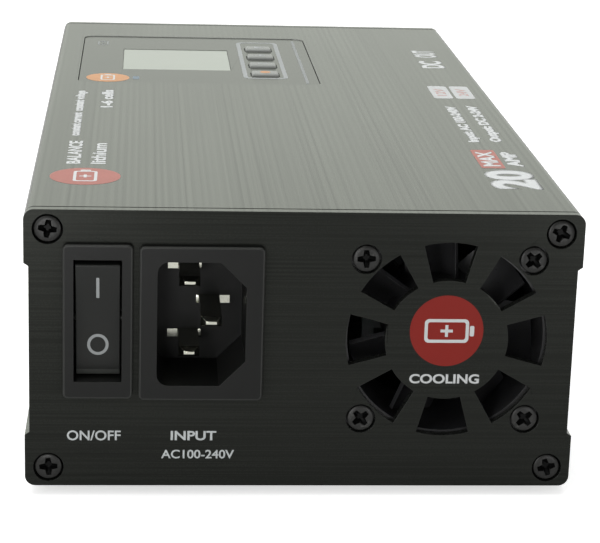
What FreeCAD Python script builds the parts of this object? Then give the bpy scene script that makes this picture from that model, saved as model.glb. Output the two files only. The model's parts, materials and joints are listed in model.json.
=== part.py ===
# Mains-powered balance battery charger of the 600 W class in a split, extruded aluminium case.
#
# Frame: +X to the right and +Z up for someone facing the mains end, +Y from the mains end to the
# output end. The origin is on the surface the charger stands on, under the middle of the case.
# All lengths are in millimetres and all angles in degrees.
import FreeCAD, Part
import math
import os

V = FreeCAD.Vector

# ---------------------------------------------------------------- case
case_width = 106.0
case_height = 55.0  # without the feet
case_length = 210.0  # over both end panels
panel_thickness = 2.0
wall = 2.0
corner_radius = 2.0
side_recess = 0.9  # depth of the band sunk into each side
rail_height = 10.4  # height of the plain rail above and below that band
rail_slope = 0.6  # height of the slope between rail and band
edge_chamfer = 0.5  # across the shells' ends, beside the panels
seam_lap = 2.4  # height of the tongue that locks the two shells together
seam_clearance = 0.1
foot_height = 2.0
foot_size = 10.0  # square stick-on feet
foot_bevel = 0.8
foot_inset = 14.0  # from the case's edges to a foot's middle

# ---------------------------------------------------------------- screws
screw_radius = 1.5
screw_head_radius = 2.7
screw_head_height = 1.3
screw_length = 9.0
screw_clearance = 0.1
head_sink = 0.25  # how far a head lies below the face, in its hole
head_gap = 0.2  # ring of air round a head in its hole
corner_screw_inset_x = 4.5
corner_screw_inset_z = 3.8
channel_wall = 1.1  # wall round each screw channel in the shells
channel_slot = 1.2
post_bevel = 1.0  # on the inner corner of each channel's post
screw_head_sides = 12  # stands in for a round head
cut_margin = 1.0  # how far a cutting tool starts outside what it cuts

# ---------------------------------------------------------------- main board and its grooves
board_thickness = 1.6
board_height = 7.0  # underside above the bottom of the case
board_side_gap = 0.8  # between the board's edge and the wall
board_front_gap = 1.0  # between the fan's housing and the board
board_rear_gap = 0.4
groove_clearance = 0.1
groove_rib = 1.0
groove_reach = 2.2
rib_root = 0.5  # how far each rib runs into the wall
sheet_thickness = 0.4
sheet_side_gap = 6.0
sheet_inset = 4.0  # from the board's ends

# ---------------------------------------------------------------- fan and its grille
fan_size = 40.0
fan_depth = 20.0
fan_hole_spacing = 32.0
fan_inset = 25.5  # from the case's right side to the fan's axis
fan_drop = 25.1  # from the top of the case to the fan's axis
fan_corner_cut = 3.0
fan_bore_radius = 19.0
fan_passage_clearance = 0.25  # round each screw in the fan's corners
tip_clearance = 0.6
hub_radius = 11.0
hub_front_gap = 0.9
hub_length = 13.0
hub_back_gap = 0.8
blade_count = 7
blade_thickness = 0.9
blade_chord = 12.0
blade_pitch = 42.0  # between the chord and the plane of rotation
blade_arch = 1.2  # rise of the blade's hollow side over its chord
blade_sweep = 10.0  # how far each blade leans forward from the radius
blade_root = 1.0  # how far each blade starts inside the hub
motor_base_radius = 11.0
strut_width = 2.4
strut_count = 4
strut_root = 0.5  # how far each strut runs into what it joins
strut_setback = 1.0  # from the motor base's front to the struts
bearing_radius = 2.4
fan_shaft_radius = 1.0
running_clearance = 0.04
grille_slots = 8
grille_inner_radius = 11.9
grille_outer_radius = 19.4
grille_half_angle = 15.3

# ---------------------------------------------------------------- mains switch
switch_inset = 13.9  # from the case's left side to the switch's middle
switch_drop = 21.55  # from the top of the case to the switch's middle
switch_flange_width = 13.2
switch_flange_length = 30.4
flange_thickness = 1.6
flange_corner = 1.0
switch_body_width = 11.8
switch_body_length = 27.4
switch_body_depth = 17.0
cutout_clearance = 0.1
well_width = 9.1
well_length = 24.0
well_depth = 9.5
well_lift = 0.25  # from the switch's middle up to the middle of the well and the rocker
rocker_width = 8.3
rocker_length = 23.2
rocker_rise = 1.8  # from the pivot out to the rocker's ends
rocker_sag = 0.9  # hollow in the middle of the rocker's face
rocker_end_depth = 3.4
rocker_keel = 4.6
rocker_edge = 0.3  # rounding of the two pressed edges
rocker_end_strip = 1.2  # flat strip along each pressed edge
rocker_tilt = 10.0  # each way from level
rocker_pivot_depth = 1.75  # behind the panel's front face
rocker_axle_radius = 0.8
rocker_axle_reach = 0.9  # how far an axle stub enters the housing's wall
rocker_axle_play = 0.2  # between a stub's end and the bottom of its hole
latch_length = 4.0
latch_rise = 1.0
latch_root = 0.4  # how deep a latch starts inside its housing
latch_tail = 0.05  # height left at a latch's far end
switch_latch_width = 6.0
inlet_latch_width = 9.0
lug_width = 4.8
lug_thickness = 0.8
lug_length = 8.0
lug_pitch = 8.0

# ---------------------------------------------------------------- mains inlet
inlet_from_switch = 19.55  # between the middles of the switch and the inlet
inlet_drop = 21.8  # from the top of the case to the inlet's middle
inlet_flange_width = 23.6
inlet_flange_length = 30.4
inlet_body_width = 20.0
inlet_body_length = 27.2
inlet_cavity_width = 16.8
inlet_cavity_length = 24.4
inlet_cavity_depth = 15.3  # behind the panel's front face
inlet_cavity_corner = 2.2
inlet_cavity_chamfer = 4.9
inlet_back_wall = 2.2
pin_width = 4.0
pin_thickness = 2.0
pin_bevel = 1.3
pin_tip_width = 2.0
pin_tip_thickness = 0.6
line_pin_spacing = 14.0
line_pin_offset = -2.2  # from the cavity's middle, away from its chamfered side
line_pin_tip = 2.5  # behind the panel's front face
earth_pin_shift = 4.1  # from the line pins' row towards the chamfered side
earth_pin_lead = 3.0  # how much further forward the earth pin starts
shoulder_width = 6.7
shoulder_thickness = 1.7
shoulder_shift = 0.75
tail_width = 6.3

# ---------------------------------------------------------------- display and keys in the lid
pocket_inset = 35.95  # from the case's left side to the pocket's middle
pocket_from_rear = 54.5  # from the rear face to the pocket's middle
pocket_width = 59.3
pocket_length = 65.0
pocket_radius = 3.0
pocket_depth = 1.0
overlay_thickness = 0.8
overlay_gap = 0.2
screen_shift = -5.3  # from the pocket's middle
screen_width = 27.2
screen_length = 28.2
screen_border = 1.2  # hidden rim of the display cell under the overlay
cell_gap = 0.3
cell_thickness = 2.8
cell_drop = 0.2
cell_face_gap = 0.1  # between the display's face and the edge of its window
cell_face_drop = 0.1  # from the cover's face to the display's face
lamp_frame_rim = 2.5
control_board_width = 54.0
control_board_length = 58.0
control_board_drop = 5.0  # from the lid's underside to the board
spacer_across_flats = 5.0
spacer_inset = 4.0
key_shift = 16.6  # from the pocket's middle to the row of keys
key_row_shift = -1.75  # the middle of the row, behind the pocket's middle
key_count = 4
key_pitch = 11.5
key_width = 6.8
key_length = 4.6
key_bevel = 0.4
key_gap = 0.2
key_rise = 0.5  # above the lid
key_travel = 0.5
key_flange_rim = 0.8
key_flange_thickness = 0.8
key_stem_width = 3.2
tact_size = 6.0
tact_wall_gap = 0.1
tact_height = 3.4
tact_bottom = 0.8

# ---------------------------------------------------------------- output end
positive_socket_inset = 26.0  # from the case's right side
socket_spacing = 19.0
socket_height = 16.0
socket_bore_radius = 2.0
socket_bore_depth = 18.0
socket_tube_radius = 2.9
socket_solid_end = 4.0
socket_collar_radius = 5.6
socket_collar_thickness = 2.6
socket_barrel_radius = 4.0
socket_barrel_inside = 1.2
socket_nut_across_flats = 10.0
socket_nut_thickness = 2.5
vent_width = 2.6
vent_length = 15.0
vent_pitch = 6.0
vent_count = 14
vent_drop = 16.5  # from the top of the case to the middle of the vents
bus_bar_width = 8.0
bus_bar_thickness = 1.0
bus_bar_foot = 4.0
balance_inset = 23.0  # from the case's left side to the header's middle
balance_pins = 7
balance_pitch = 2.5
balance_end = 2.45  # from the last pin to the header's end
balance_header_height = 5.8
balance_header_wall = 0.8
balance_header_proud = 1.0
balance_header_depth = 9.8
balance_floor = 2.6
balance_pin_size = 0.64
balance_pin_recess = 1.5  # from the header's mouth to the pins' tips
balance_tail = 2.0  # from the header's back to the pins' legs
balance_slot_width = 1.6
balance_slot_start = 0.5  # behind the panel's inner face
balance_clearance = 0.1

# ---------------------------------------------------------------- parts of the main board
# An inset is from the board's left edge, or from its right edge for the heat sinks. A depth is
# behind the front face of the charger.
can_sides = 16  # stands in for a round can
mains_fuse_size = (4.2, 8.6, 8.0)
mains_fuse_inset = 6.0
mains_fuse_depth = 36.0
mains_capacitor_size = (18.0, 8.5, 15.0)
mains_capacitor_inset = 39.3
mains_capacitor_depth = 36.0
filter_choke_inset = 19.3
filter_choke_depth = 44.0
filter_choke_size = (20.0, 18.0, 17.0)
bulk_capacitor_radius = 11.0
bulk_capacitor_height = 33.0
bulk_capacitor_inset = 25.3  # to the middle of the pair
bulk_capacitor_pitch = 23.5
bulk_capacitor_depth = 69.0
relay_size = (15.0, 11.0, 14.0)
relay_inset = 11.0
relay_depth = 97.0
boost_choke_inset = 35.3
boost_choke_depth = 93.0
boost_choke_size = (28.0, 22.0, 24.0)
transformer_inset = 32.3
transformer_from_rear = 66.0
transformer_size = (38.0, 36.0, 27.0)
control_card_inset = 56.8
control_card_from_rear = 66.0
control_card_size = (1.6, 40.0, 22.0)
chip_size = (1.6, 9.0, 6.0)
chip_spacing = 18.0
heatsink_base = 2.5
heatsink_height = 34.0
heatsink_fins = 6
heatsink_fin_thickness = 1.5
heatsink_foot_clear = 4.0  # from the board to the lowest fin
primary_heatsink_inset = 33.3
primary_heatsink_depth = 72.0
primary_heatsink_length = 56.0
primary_fin_length = 17.0
secondary_heatsink_inset = 22.8
secondary_heatsink_from_rear = 61.0
secondary_heatsink_length = 54.0
secondary_fin_length = 18.0
package_size = (4.6, 15.6, 19.0)
package_lift = 10.0  # from the board to a package's lower edge
lead_pitch = 5.0
lead_width = 1.2
lead_thickness = 0.6
package_pitch = 17.5
bridge_size = (4.6, 20.0, 19.0)
bridge_shift = 17.8  # from the primary heat sink's middle
output_choke_inset = 19.3
output_choke_from_rear = 28.0
output_choke_size = (24.0, 22.0, 20.0)
output_capacitor_radius = 5.0
output_capacitor_height = 20.0
output_capacitor_inset = 46.3  # to the middle of the pair
output_capacitor_pitch = 12.0
output_capacitor_from_rear = 33.0
core_leg_share = 0.32  # middle leg's width as a share of a wound core's width
core_yoke_share = 0.17  # each yoke's and outer leg's thickness as the same share
winding_gap = 0.3
bobbin_cheek = 1.2
ribbon_width = 12.0
ribbon_thickness = 0.4

# ---------------------------------------------------------------- derived places
half_width = case_width / 2
band_half = half_width - side_recess
inner_half = band_half - wall
y_front = -case_length / 2
y_rear = case_length / 2
shell_front = y_front + panel_thickness
shell_rear = y_rear - panel_thickness
z_low = foot_height
z_high = z_low + case_height
z_seam = (z_low + z_high) / 2
z_floor = z_low + wall
z_ceiling = z_high - wall
channel_half = screw_radius + screw_clearance
corner_screw_x = half_width - corner_screw_inset_x
corner_screw_zs = (z_high - corner_screw_inset_z, z_low + corner_screw_inset_z)
board_low = z_low + board_height
board_top = board_low + board_thickness
board_half = inner_half - board_side_gap
board_front = shell_front + fan_depth + board_front_gap
board_rear = shell_rear - board_rear_gap
fan_x = half_width - fan_inset
fan_z = z_high - fan_drop
switch_x = -half_width + switch_inset
switch_z = z_high - switch_drop
inlet_x = switch_x + inlet_from_switch
inlet_z = z_high - inlet_drop
pocket_x = -half_width + pocket_inset
pocket_y = y_rear - pocket_from_rear
screen_x = pocket_x + screen_shift
key_x = pocket_x + key_shift
positive_socket_x = half_width - positive_socket_inset
negative_socket_x = positive_socket_x - socket_spacing
balance_x = -half_width + balance_inset


# ================================================================ drawing helpers
def outline(corners, place):
    """A closed wire through corners (u, v) or (u, v, radius), rounded by tangent arcs."""
    count = len(corners)
    points = [V(c[0], c[1], 0) for c in corners]
    ends = []
    for i, corner in enumerate(corners):
        radius = corner[2] if len(corner) > 2 else 0
        here = points[i]
        back = (points[i - 1] - here).normalize()
        ahead = (points[(i + 1) % count] - here).normalize()
        half = back.getAngle(ahead) / 2
        if radius <= 0:
            ends.append((here, None, here))
            continue
        run = radius / math.tan(half)
        middle = here + (back + ahead).normalize() * (radius / math.sin(half) - radius)
        ends.append((here + back * run, middle, here + ahead * run))
    edges = []
    for i in range(count):
        start, middle, end = ends[i]
        following = ends[(i + 1) % count][0]
        if middle is not None:
            arc = [place(p.x, p.y) for p in (start, middle, end)]
            edges.append(Part.Arc(*arc).toShape())
        if (following - end).Length > 1e-6:
            edges.append(Part.makeLine(place(end.x, end.y), place(following.x, following.y)))
    return Part.Wire(edges)


def along_y(corners, y0, y1):
    """A profile of (x, z) corners, extruded from y0 to y1."""
    wire = outline(corners, lambda u, v: V(u, y0, v))
    return Part.Face(wire).extrude(V(0, y1 - y0, 0))


def along_z(corners, z0, z1):
    """A profile of (x, y) corners, extruded from z0 to z1."""
    wire = outline(corners, lambda u, v: V(u, v, z0))
    return Part.Face(wire).extrude(V(0, 0, z1 - z0))


def along_x(corners, x0, x1):
    """A profile of (y, z) corners, extruded from x0 to x1."""
    wire = outline(corners, lambda u, v: V(x0, u, v))
    return Part.Face(wire).extrude(V(x1 - x0, 0, 0))


def rectangle(centre_u, centre_v, size_u, size_v, radius=0.0):
    """The four corners of a rectangle, each with the same radius."""
    hu, hv = size_u / 2, size_v / 2
    signs = ((-1, -1), (1, -1), (1, 1), (-1, 1))
    return [(centre_u + su * hu, centre_v + sv * hv, radius) for su, sv in signs]


def octagon(centre_u, centre_v, size, cut):
    """A square with its corners cut off."""
    half = size / 2
    short = half - cut
    steps = ((half, short), (short, half), (-short, half), (-half, short),
             (-half, -short), (-short, -half), (short, -half), (half, -short))
    return [(centre_u + u, centre_v + v) for u, v in steps]


def block(x0, x1, y0, y1, z0, z1):
    """A box between two corners."""
    return Part.makeBox(x1 - x0, y1 - y0, z1 - z0, V(x0, y0, z0))


def rod(radius, start, end):
    """A round bar between two points."""
    return Part.makeCylinder(radius, (end - start).Length, start, end - start)


def pipe(outer, inner, start, end):
    """A round tube between two points."""
    return rod(outer, start, end).cut(rod(inner, start, end))


def joined(pieces):
    """One solid from touching pieces, with no seams left on its flat faces."""
    return pieces[0].fuse(pieces[1:]).removeSplitter()


def less(body, tools):
    """The body with every tool cut out of it."""
    return body.cut(Part.makeCompound(tools)).removeSplitter()


def polygon(sides, across, centre_u, centre_v):
    """The corners of a regular polygon, with its size over two opposite corners."""
    angles = [2 * math.pi * i / sides for i in range(sides)]
    radius = across / 2
    return [(centre_u + radius * math.cos(a), centre_v + radius * math.sin(a)) for a in angles]


def across_corners(across_flats):
    """A hexagon's size over its corners."""
    return across_flats / math.cos(math.radians(30))


def export(name, pieces):
    """Writes one node, made of one solid or of several separate ones."""
    solids = [s for piece in pieces for s in piece.Solids]
    shape = solids[0] if len(solids) == 1 else Part.makeCompound(solids)
    shape.exportStep(os.path.join("parts", name + ".step"))


# ================================================================ screws
def screw(x, z, face_y, facing, length):
    """A screw with its head below a face at face_y, and a shank simplified to six sides."""
    top = face_y - facing * head_sink
    neck = top - facing * screw_head_height
    head = along_y(polygon(screw_head_sides, 2 * screw_head_radius, x, z), top, neck)
    shank = along_y(polygon(6, 2 * screw_radius, x, z), neck, top - facing * length)
    return joined([head, shank])


def head_hole(x, z, y0, y1):
    """The hole in a panel that a screw's head lies in."""
    return rod(screw_head_radius + head_gap, V(x, y0, z), V(x, y1, z))


def corner_places():
    """The four corner screws' places, top row first."""
    return [(sx * corner_screw_x, z) for z in corner_screw_zs for sx in (-1, 1)]


def case_screws():
    """The screws that hold both end panels to the two shells."""
    front = [screw(x, z, y_front, -1, screw_length) for x, z in corner_places()]
    return front + [screw(x, z, y_rear, 1, screw_length) for x, z in corner_places()]


# ================================================================ case
def half_shell():
    """The lower channel of the case, before what differs between the two shells is added."""
    rail_top = z_low + rail_height
    band_low = rail_top + rail_slope
    outer_left = [(-band_half, z_seam), (-band_half, band_low), (-half_width, rail_top)]
    outer_floor = [(-half_width, z_low, corner_radius), (half_width, z_low, corner_radius)]
    outer_right = [(half_width, rail_top), (band_half, band_low), (band_half, z_seam)]
    inner = [(inner_half, z_seam), (inner_half, z_floor), (-inner_half, z_floor), (-inner_half, z_seam)]
    pieces = [along_y(outer_left + outer_floor + outer_right + inner, shell_front, shell_rear)]
    channels = []
    for side in (-1, 1):
        x, z = side * corner_screw_x, corner_screw_zs[1]
        inward = x - side * (channel_half + channel_wall)
        upper = z + channel_half + channel_wall
        post = [(side * inner_half, z_floor), (side * inner_half, upper),
                (inward + side * post_bevel, upper), (inward, upper - post_bevel), (inward, z_floor)]
        pieces.append(along_y(post, shell_front, shell_rear))
        channels.append(block(x - channel_half, x + channel_half, shell_front, shell_rear,
                              z - channel_half, z + channel_half))
        slot_xs = sorted((x, inward))
        channels.append(block(*slot_xs, shell_front, shell_rear,
                              z - channel_slot / 2, z + channel_slot / 2))
    return less(joined(pieces), channels)


def seam_tongue(clearance):
    """The two tongues along the seam, grown by a clearance for the grooves that take them."""
    pieces = []
    for side in (-1, 1):
        xs = sorted((side * (inner_half - clearance), side * (inner_half + wall / 2 + clearance)))
        pieces.append(block(*xs, shell_front, shell_rear, z_seam, z_seam + seam_lap + clearance))
    return pieces


def end_edge_cuts(z_edge, towards):
    """Small bevels across the shell's two ends, along its broad face."""
    cuts = []
    for y, inward in ((shell_front, 1), (shell_rear, -1)):
        corners = [(y, z_edge), (y + inward * edge_chamfer, z_edge),
                   (y, z_edge + towards * edge_chamfer)]
        cuts.append(along_x(corners, -half_width, half_width))
    return cuts


def bottom_shell():
    """The lower shell, with the tongues of the seam and the grooves that hold the main board."""
    body = half_shell()
    pieces = [body] + seam_tongue(0)
    gap = groove_clearance
    low_rib = (board_low - gap - groove_rib, board_low - gap)
    high_rib = (board_top + gap, board_top + gap + groove_rib)
    for side in (-1, 1):
        xs = sorted((side * (inner_half - groove_reach), side * (inner_half + rib_root)))
        for z0, z1 in (low_rib, high_rib):
            pieces.append(block(*xs, shell_front, shell_rear, z0, z1))
    return less(joined(pieces), end_edge_cuts(z_low, 1))


def pocket_corners(inset):
    """The outline of the pocket in the lid, drawn in by an inset."""
    return rectangle(pocket_x, pocket_y, pocket_width - 2 * inset, pocket_length - 2 * inset,
                     pocket_radius - inset)


def key_places():
    """The middle of each key, nearest the mains end first."""
    first = pocket_y + key_row_shift - key_pitch * (key_count - 1) / 2
    return [(key_x, first + i * key_pitch) for i in range(key_count)]


def key_openings(gap, z0, z1):
    """A hole for each key."""
    size = (key_width + 2 * gap, key_length + 2 * gap)
    return [along_z(rectangle(x, y, *size), z0, z1) for x, y in key_places()]


def screen_opening(rim, z0, z1):
    """A hole round the display, larger than the part that shows by a rim on each side."""
    size = (screen_width + 2 * rim, screen_length + 2 * rim)
    return along_z(rectangle(screen_x, pocket_y, *size), z0, z1)


def top_shell():
    """The upper shell: grooves for the seam, and the pocket for the display's cover."""
    body = half_shell().mirror(V(0, 0, z_seam), V(0, 0, 1))
    pocket_floor = z_high - pocket_depth
    tools = seam_tongue(seam_clearance) + end_edge_cuts(z_high, -1)
    below = z_ceiling - cut_margin
    tools.append(along_z(pocket_corners(0), pocket_floor, z_high + cut_margin))
    tools.append(screen_opening(screen_border + cell_gap, below, pocket_floor))
    tools += key_openings(key_gap, below, pocket_floor)
    return less(body, tools)


def panel_corners():
    """The outline of both end panels, which repeats the section of the case."""
    rail_low_top = z_low + rail_height
    rail_high_low = z_high - rail_height
    right = [(half_width, z_low, corner_radius), (half_width, rail_low_top),
             (band_half, rail_low_top + rail_slope), (band_half, rail_high_low - rail_slope),
             (half_width, rail_high_low), (half_width, z_high, corner_radius)]
    left = [(-x, z, *radius) for x, z, *radius in reversed(right)]
    return right + left


def grille_slot(index):
    """One of the slots of the fan's grille, between two radii and two radial edges."""
    centre = V(fan_x, 0, fan_z)
    middle = math.radians(90 + index * 360 / grille_slots)
    half = math.radians(grille_half_angle)

    def at(radius, angle):
        return centre + V(radius * math.cos(angle), y_front, radius * math.sin(angle))

    r0, r1 = grille_inner_radius, grille_outer_radius
    a0, a1 = middle - half, middle + half
    edges = [Part.Arc(at(r0, a0), at(r0, middle), at(r0, a1)).toShape(),
             Part.makeLine(at(r0, a1), at(r1, a1)),
             Part.Arc(at(r1, a1), at(r1, middle), at(r1, a0)).toShape(),
             Part.makeLine(at(r1, a0), at(r0, a0))]
    return Part.Face(Part.Wire(edges)).extrude(V(0, panel_thickness, 0))


def fan_places():
    """The four fan screws' places, top row first."""
    half = fan_hole_spacing / 2
    return [(fan_x + sx * half, fan_z + sz * half) for sz in (1, -1) for sx in (-1, 1)]


def input_panel():
    """The mains end panel, cut for the switch, the inlet and the fan."""
    switch_hole = rectangle(switch_x, switch_z,
                            switch_body_width + 2 * cutout_clearance,
                            switch_body_length + 2 * cutout_clearance)
    inlet_hole = rectangle(inlet_x, inlet_z,
                           inlet_body_width + 2 * cutout_clearance,
                           inlet_body_length + 2 * cutout_clearance)
    tools = [along_y(corners, y_front, shell_front) for corners in (switch_hole, inlet_hole)]
    tools += [grille_slot(i) for i in range(grille_slots)]
    tools += [head_hole(x, z, y_front, shell_front) for x, z in corner_places() + fan_places()]
    return less(along_y(panel_corners(), y_front, shell_front), tools)


def output_panel():
    """The output end panel, cut for the sockets, the balance header and the warm air."""
    tools = [rod(socket_barrel_radius, V(x, shell_rear, z), V(x, y_rear, z))
             for x, z in socket_places()]
    tools.append(along_y(header_corners(balance_clearance), shell_rear, y_rear))
    first = -vent_pitch * (vent_count - 1) / 2
    for i in range(vent_count):
        slot = rectangle(first + i * vent_pitch, z_high - vent_drop, vent_width, vent_length)
        tools.append(along_y(slot, shell_rear, y_rear))
    tools += [head_hole(x, z, shell_rear, y_rear) for x, z in corner_places()]
    return less(along_y(panel_corners(), shell_rear, y_rear), tools)


def feet():
    """Four square rubber feet with bevelled lower edges."""
    pieces = []
    for sx in (-1, 1):
        for sy in (-1, 1):
            x = sx * (half_width - foot_inset)
            y = sy * (case_length / 2 - foot_inset)
            half = foot_size / 2
            pad = block(x - half, x + half, y - half, y + half, 0, foot_height)
            lower_edges = [e for e in pad.Edges if e.BoundBox.ZMax < foot_height / 2]
            pieces.append(pad.makeChamfer(foot_bevel, lower_edges))
    return pieces


# ================================================================ fan
def fan_point(depth):
    """A point on the fan's axis, at a depth behind the end panel."""
    return V(fan_x, shell_front + depth, fan_z)


def fan_frame():
    """The fan's housing, with the motor's base and bearing boss on struts across its rear."""
    centre = fan_point(0)
    rear = shell_front + fan_depth
    body = along_y(octagon(centre.x, centre.z, fan_size, fan_corner_cut), shell_front, rear)
    tools = [rod(fan_bore_radius, centre, fan_point(fan_depth))]
    passage = 2 * (screw_radius + fan_passage_clearance)
    tools += [along_y(polygon(6, passage, x, z), shell_front, rear) for x, z in fan_places()]
    base_front = hub_front_gap + hub_length + hub_back_gap
    motor = [rod(motor_base_radius, fan_point(base_front), fan_point(fan_depth))]
    for i in range(strut_count):
        strut = block(motor_base_radius - strut_root, fan_bore_radius + strut_root,
                      fan_point(base_front + strut_setback).y, rear, -strut_width / 2, strut_width / 2)
        strut.rotate(V(0, 0, 0), V(0, 1, 0), 45 + i * 360 / strut_count)
        strut.translate(V(centre.x, 0, centre.z))
        motor.append(strut)
    bore = rod(bearing_radius, fan_point(base_front), fan_point(fan_depth))
    return joined([less(body, tools), *motor]).cut(bore)


def fan_blade(middle_y):
    """One arched blade that leans forward from the radius, with a round tip."""
    angle = math.radians(blade_pitch)
    along = V(0, math.sin(angle), math.cos(angle)) * (blade_chord / 2)
    across = V(0, math.cos(angle), -math.sin(angle))
    root = V(hub_radius - blade_root, middle_y, 0)

    def at(share, side):
        rise = blade_arch * (1 - share * share) + side * blade_thickness / 2
        return root + along * share + across * rise

    front = Part.Arc(at(-1, 1), at(0, 1), at(1, 1)).toShape()
    back = Part.Arc(at(1, -1), at(0, -1), at(-1, -1)).toShape()
    section = Part.Wire([front, Part.makeLine(at(1, 1), at(1, -1)),
                         back, Part.makeLine(at(-1, -1), at(-1, 1))])
    blade = Part.Face(section).extrude(V(fan_bore_radius, 0, 0))
    blade.rotate(root, V(0, 1, 0), blade_sweep)
    tip_radius = fan_bore_radius - tip_clearance
    half = hub_length / 2
    return blade.common(rod(tip_radius, V(0, middle_y - half, 0), V(0, middle_y + half, 0)))


def fan_impeller():
    """The hub and its ring of blades."""
    front = fan_point(hub_front_gap)
    back = fan_point(hub_front_gap + hub_length)
    hub = rod(hub_radius, front, back)
    blade = fan_blade((front.y + back.y) / 2)
    blades = []
    for i in range(blade_count):
        copy = blade.copy()
        copy.rotate(V(0, 0, 0), V(0, 1, 0), i * 360 / blade_count)
        copy.translate(V(front.x, 0, front.z))
        blades.append(copy)
    return joined([hub, *blades])


def fan_shaft():
    """The shaft, fixed in the hub's back and turning in the bearing."""
    return rod(fan_shaft_radius, fan_point(hub_front_gap + hub_length), fan_point(fan_depth))


def fan_bearing():
    """The sleeve bearing in the middle of the motor's base."""
    start = fan_point(hub_front_gap + hub_length + hub_back_gap)
    return pipe(bearing_radius, fan_shaft_radius + running_clearance, start, fan_point(fan_depth))


def fan_screws():
    """Four long screws through the panel and the fan's corners."""
    length = panel_thickness + fan_depth
    return [screw(x, z, y_front, -1, length) for x, z in fan_places()]


# ================================================================ mains switch
def latch(x, z, towards, width):
    """A snap-in ramp behind the panel, on a housing's upper or lower side."""
    start = shell_front + cutout_clearance
    root = z - towards * latch_root
    corners = [(start, root), (start, z + towards * latch_rise),
               (start + latch_length, z + towards * latch_tail), (start + latch_length, root)]
    return along_x(corners, x - width / 2, x + width / 2)


def switch_pivot():
    """The middle of the rocker's axle."""
    return V(switch_x, y_front + rocker_pivot_depth, switch_z + well_lift)


def switch_housing():
    """The rocker switch's frame and body, with the well that the rocker sits in."""
    flange_front = y_front - flange_thickness
    flange = along_y(rectangle(switch_x, switch_z, switch_flange_width, switch_flange_length,
                               flange_corner), flange_front, y_front)
    body_back = y_front + switch_body_depth
    body = along_y(rectangle(switch_x, switch_z, switch_body_width, switch_body_length),
                   y_front, body_back)
    half = switch_body_length / 2
    latches = [latch(switch_x, switch_z + side * half, side, switch_latch_width) for side in (1, -1)]
    pivot = switch_pivot()
    well = along_y(rectangle(switch_x, pivot.z, well_width, well_length),
                   flange_front, flange_front + well_depth)
    reach = well_width / 2 + rocker_axle_reach + rocker_axle_play
    axle = rod(rocker_axle_radius + running_clearance, pivot - V(reach, 0, 0), pivot + V(reach, 0, 0))
    return less(joined([flange, body, *latches]), [well, axle])


def switch_rocker():
    """The rocker with its hollowed face and two axle stubs, tilted to its off stop."""
    pivot = switch_pivot()
    half = rocker_length / 2
    slope_end = half - rocker_end_strip
    face = -rocker_rise
    dip = math.atan(rocker_sag / slope_end)
    hollow_radius = slope_end * 0.75 / math.tan(dip)
    back = face + rocker_end_depth
    keel_half = half / 4
    corners = [(face, half, rocker_edge), (face, slope_end), (face + rocker_sag, 0, hollow_radius),
               (face, -slope_end), (face, -half, rocker_edge), (back, -half + rocker_edge),
               (rocker_keel, -keel_half), (rocker_keel, keel_half), (back, half - rocker_edge)]
    body = along_x(corners, -rocker_width / 2, rocker_width / 2)
    reach = well_width / 2 + rocker_axle_reach
    axle = rod(rocker_axle_radius, V(-reach, 0, 0), V(reach, 0, 0))
    rocker = joined([body, axle])
    rocker.rotate(V(0, 0, 0), V(1, 0, 0), rocker_tilt)
    rocker.translate(pivot)
    return rocker


def switch_terminals():
    """The three tabs that the mains wires push on to."""
    back = y_front + switch_body_depth
    half_w, half_t = lug_width / 2, lug_thickness / 2
    zs = [switch_z + i * lug_pitch for i in (-1, 0, 1)]
    return [block(switch_x - half_w, switch_x + half_w, back, back + lug_length,
                  z - half_t, z + half_t) for z in zs]


# ================================================================ mains inlet
def inlet_pin_places():
    """(x, z, tip depth, way its wide shoulder points) for the two line pins and the earth pin."""
    line_x = inlet_x + line_pin_offset
    half = line_pin_spacing / 2
    earth = (line_x + earth_pin_shift, inlet_z, line_pin_tip - earth_pin_lead, 1)
    lines = [(line_x, inlet_z + side * half, line_pin_tip, -1) for side in (1, -1)]
    return [*lines, earth]


def inlet_pin(x, z, tip_depth, shoulder_way):
    """One blade with a bevelled tip, its shoulder in the back wall and its solder tail."""
    tip = y_front + tip_depth
    wall_front = y_front + inlet_cavity_depth
    wall_back = wall_front + inlet_back_wall

    def tapered(middle, tip_size, full_size):
        half, small = full_size / 2, tip_size / 2
        return [(middle - small, tip), (middle + small, tip), (middle + half, tip + pin_bevel),
                (middle + half, wall_front), (middle - half, wall_front),
                (middle - half, tip + pin_bevel)]

    flat = along_z(tapered(x, pin_tip_width, pin_width), z - pin_thickness, z + pin_thickness)
    edge_corners = [(y, v) for v, y in tapered(z, pin_tip_thickness, pin_thickness)]
    blade = flat.common(along_x(edge_corners, x - pin_width, x + pin_width))
    shoulder_x = x + shoulder_way * shoulder_shift
    shoulder = along_y(rectangle(shoulder_x, z, shoulder_width, shoulder_thickness),
                       wall_front, wall_back)
    tail = along_y(rectangle(shoulder_x, z, tail_width, lug_thickness),
                   wall_back, wall_back + lug_length)
    return joined([blade, shoulder, tail])


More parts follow.
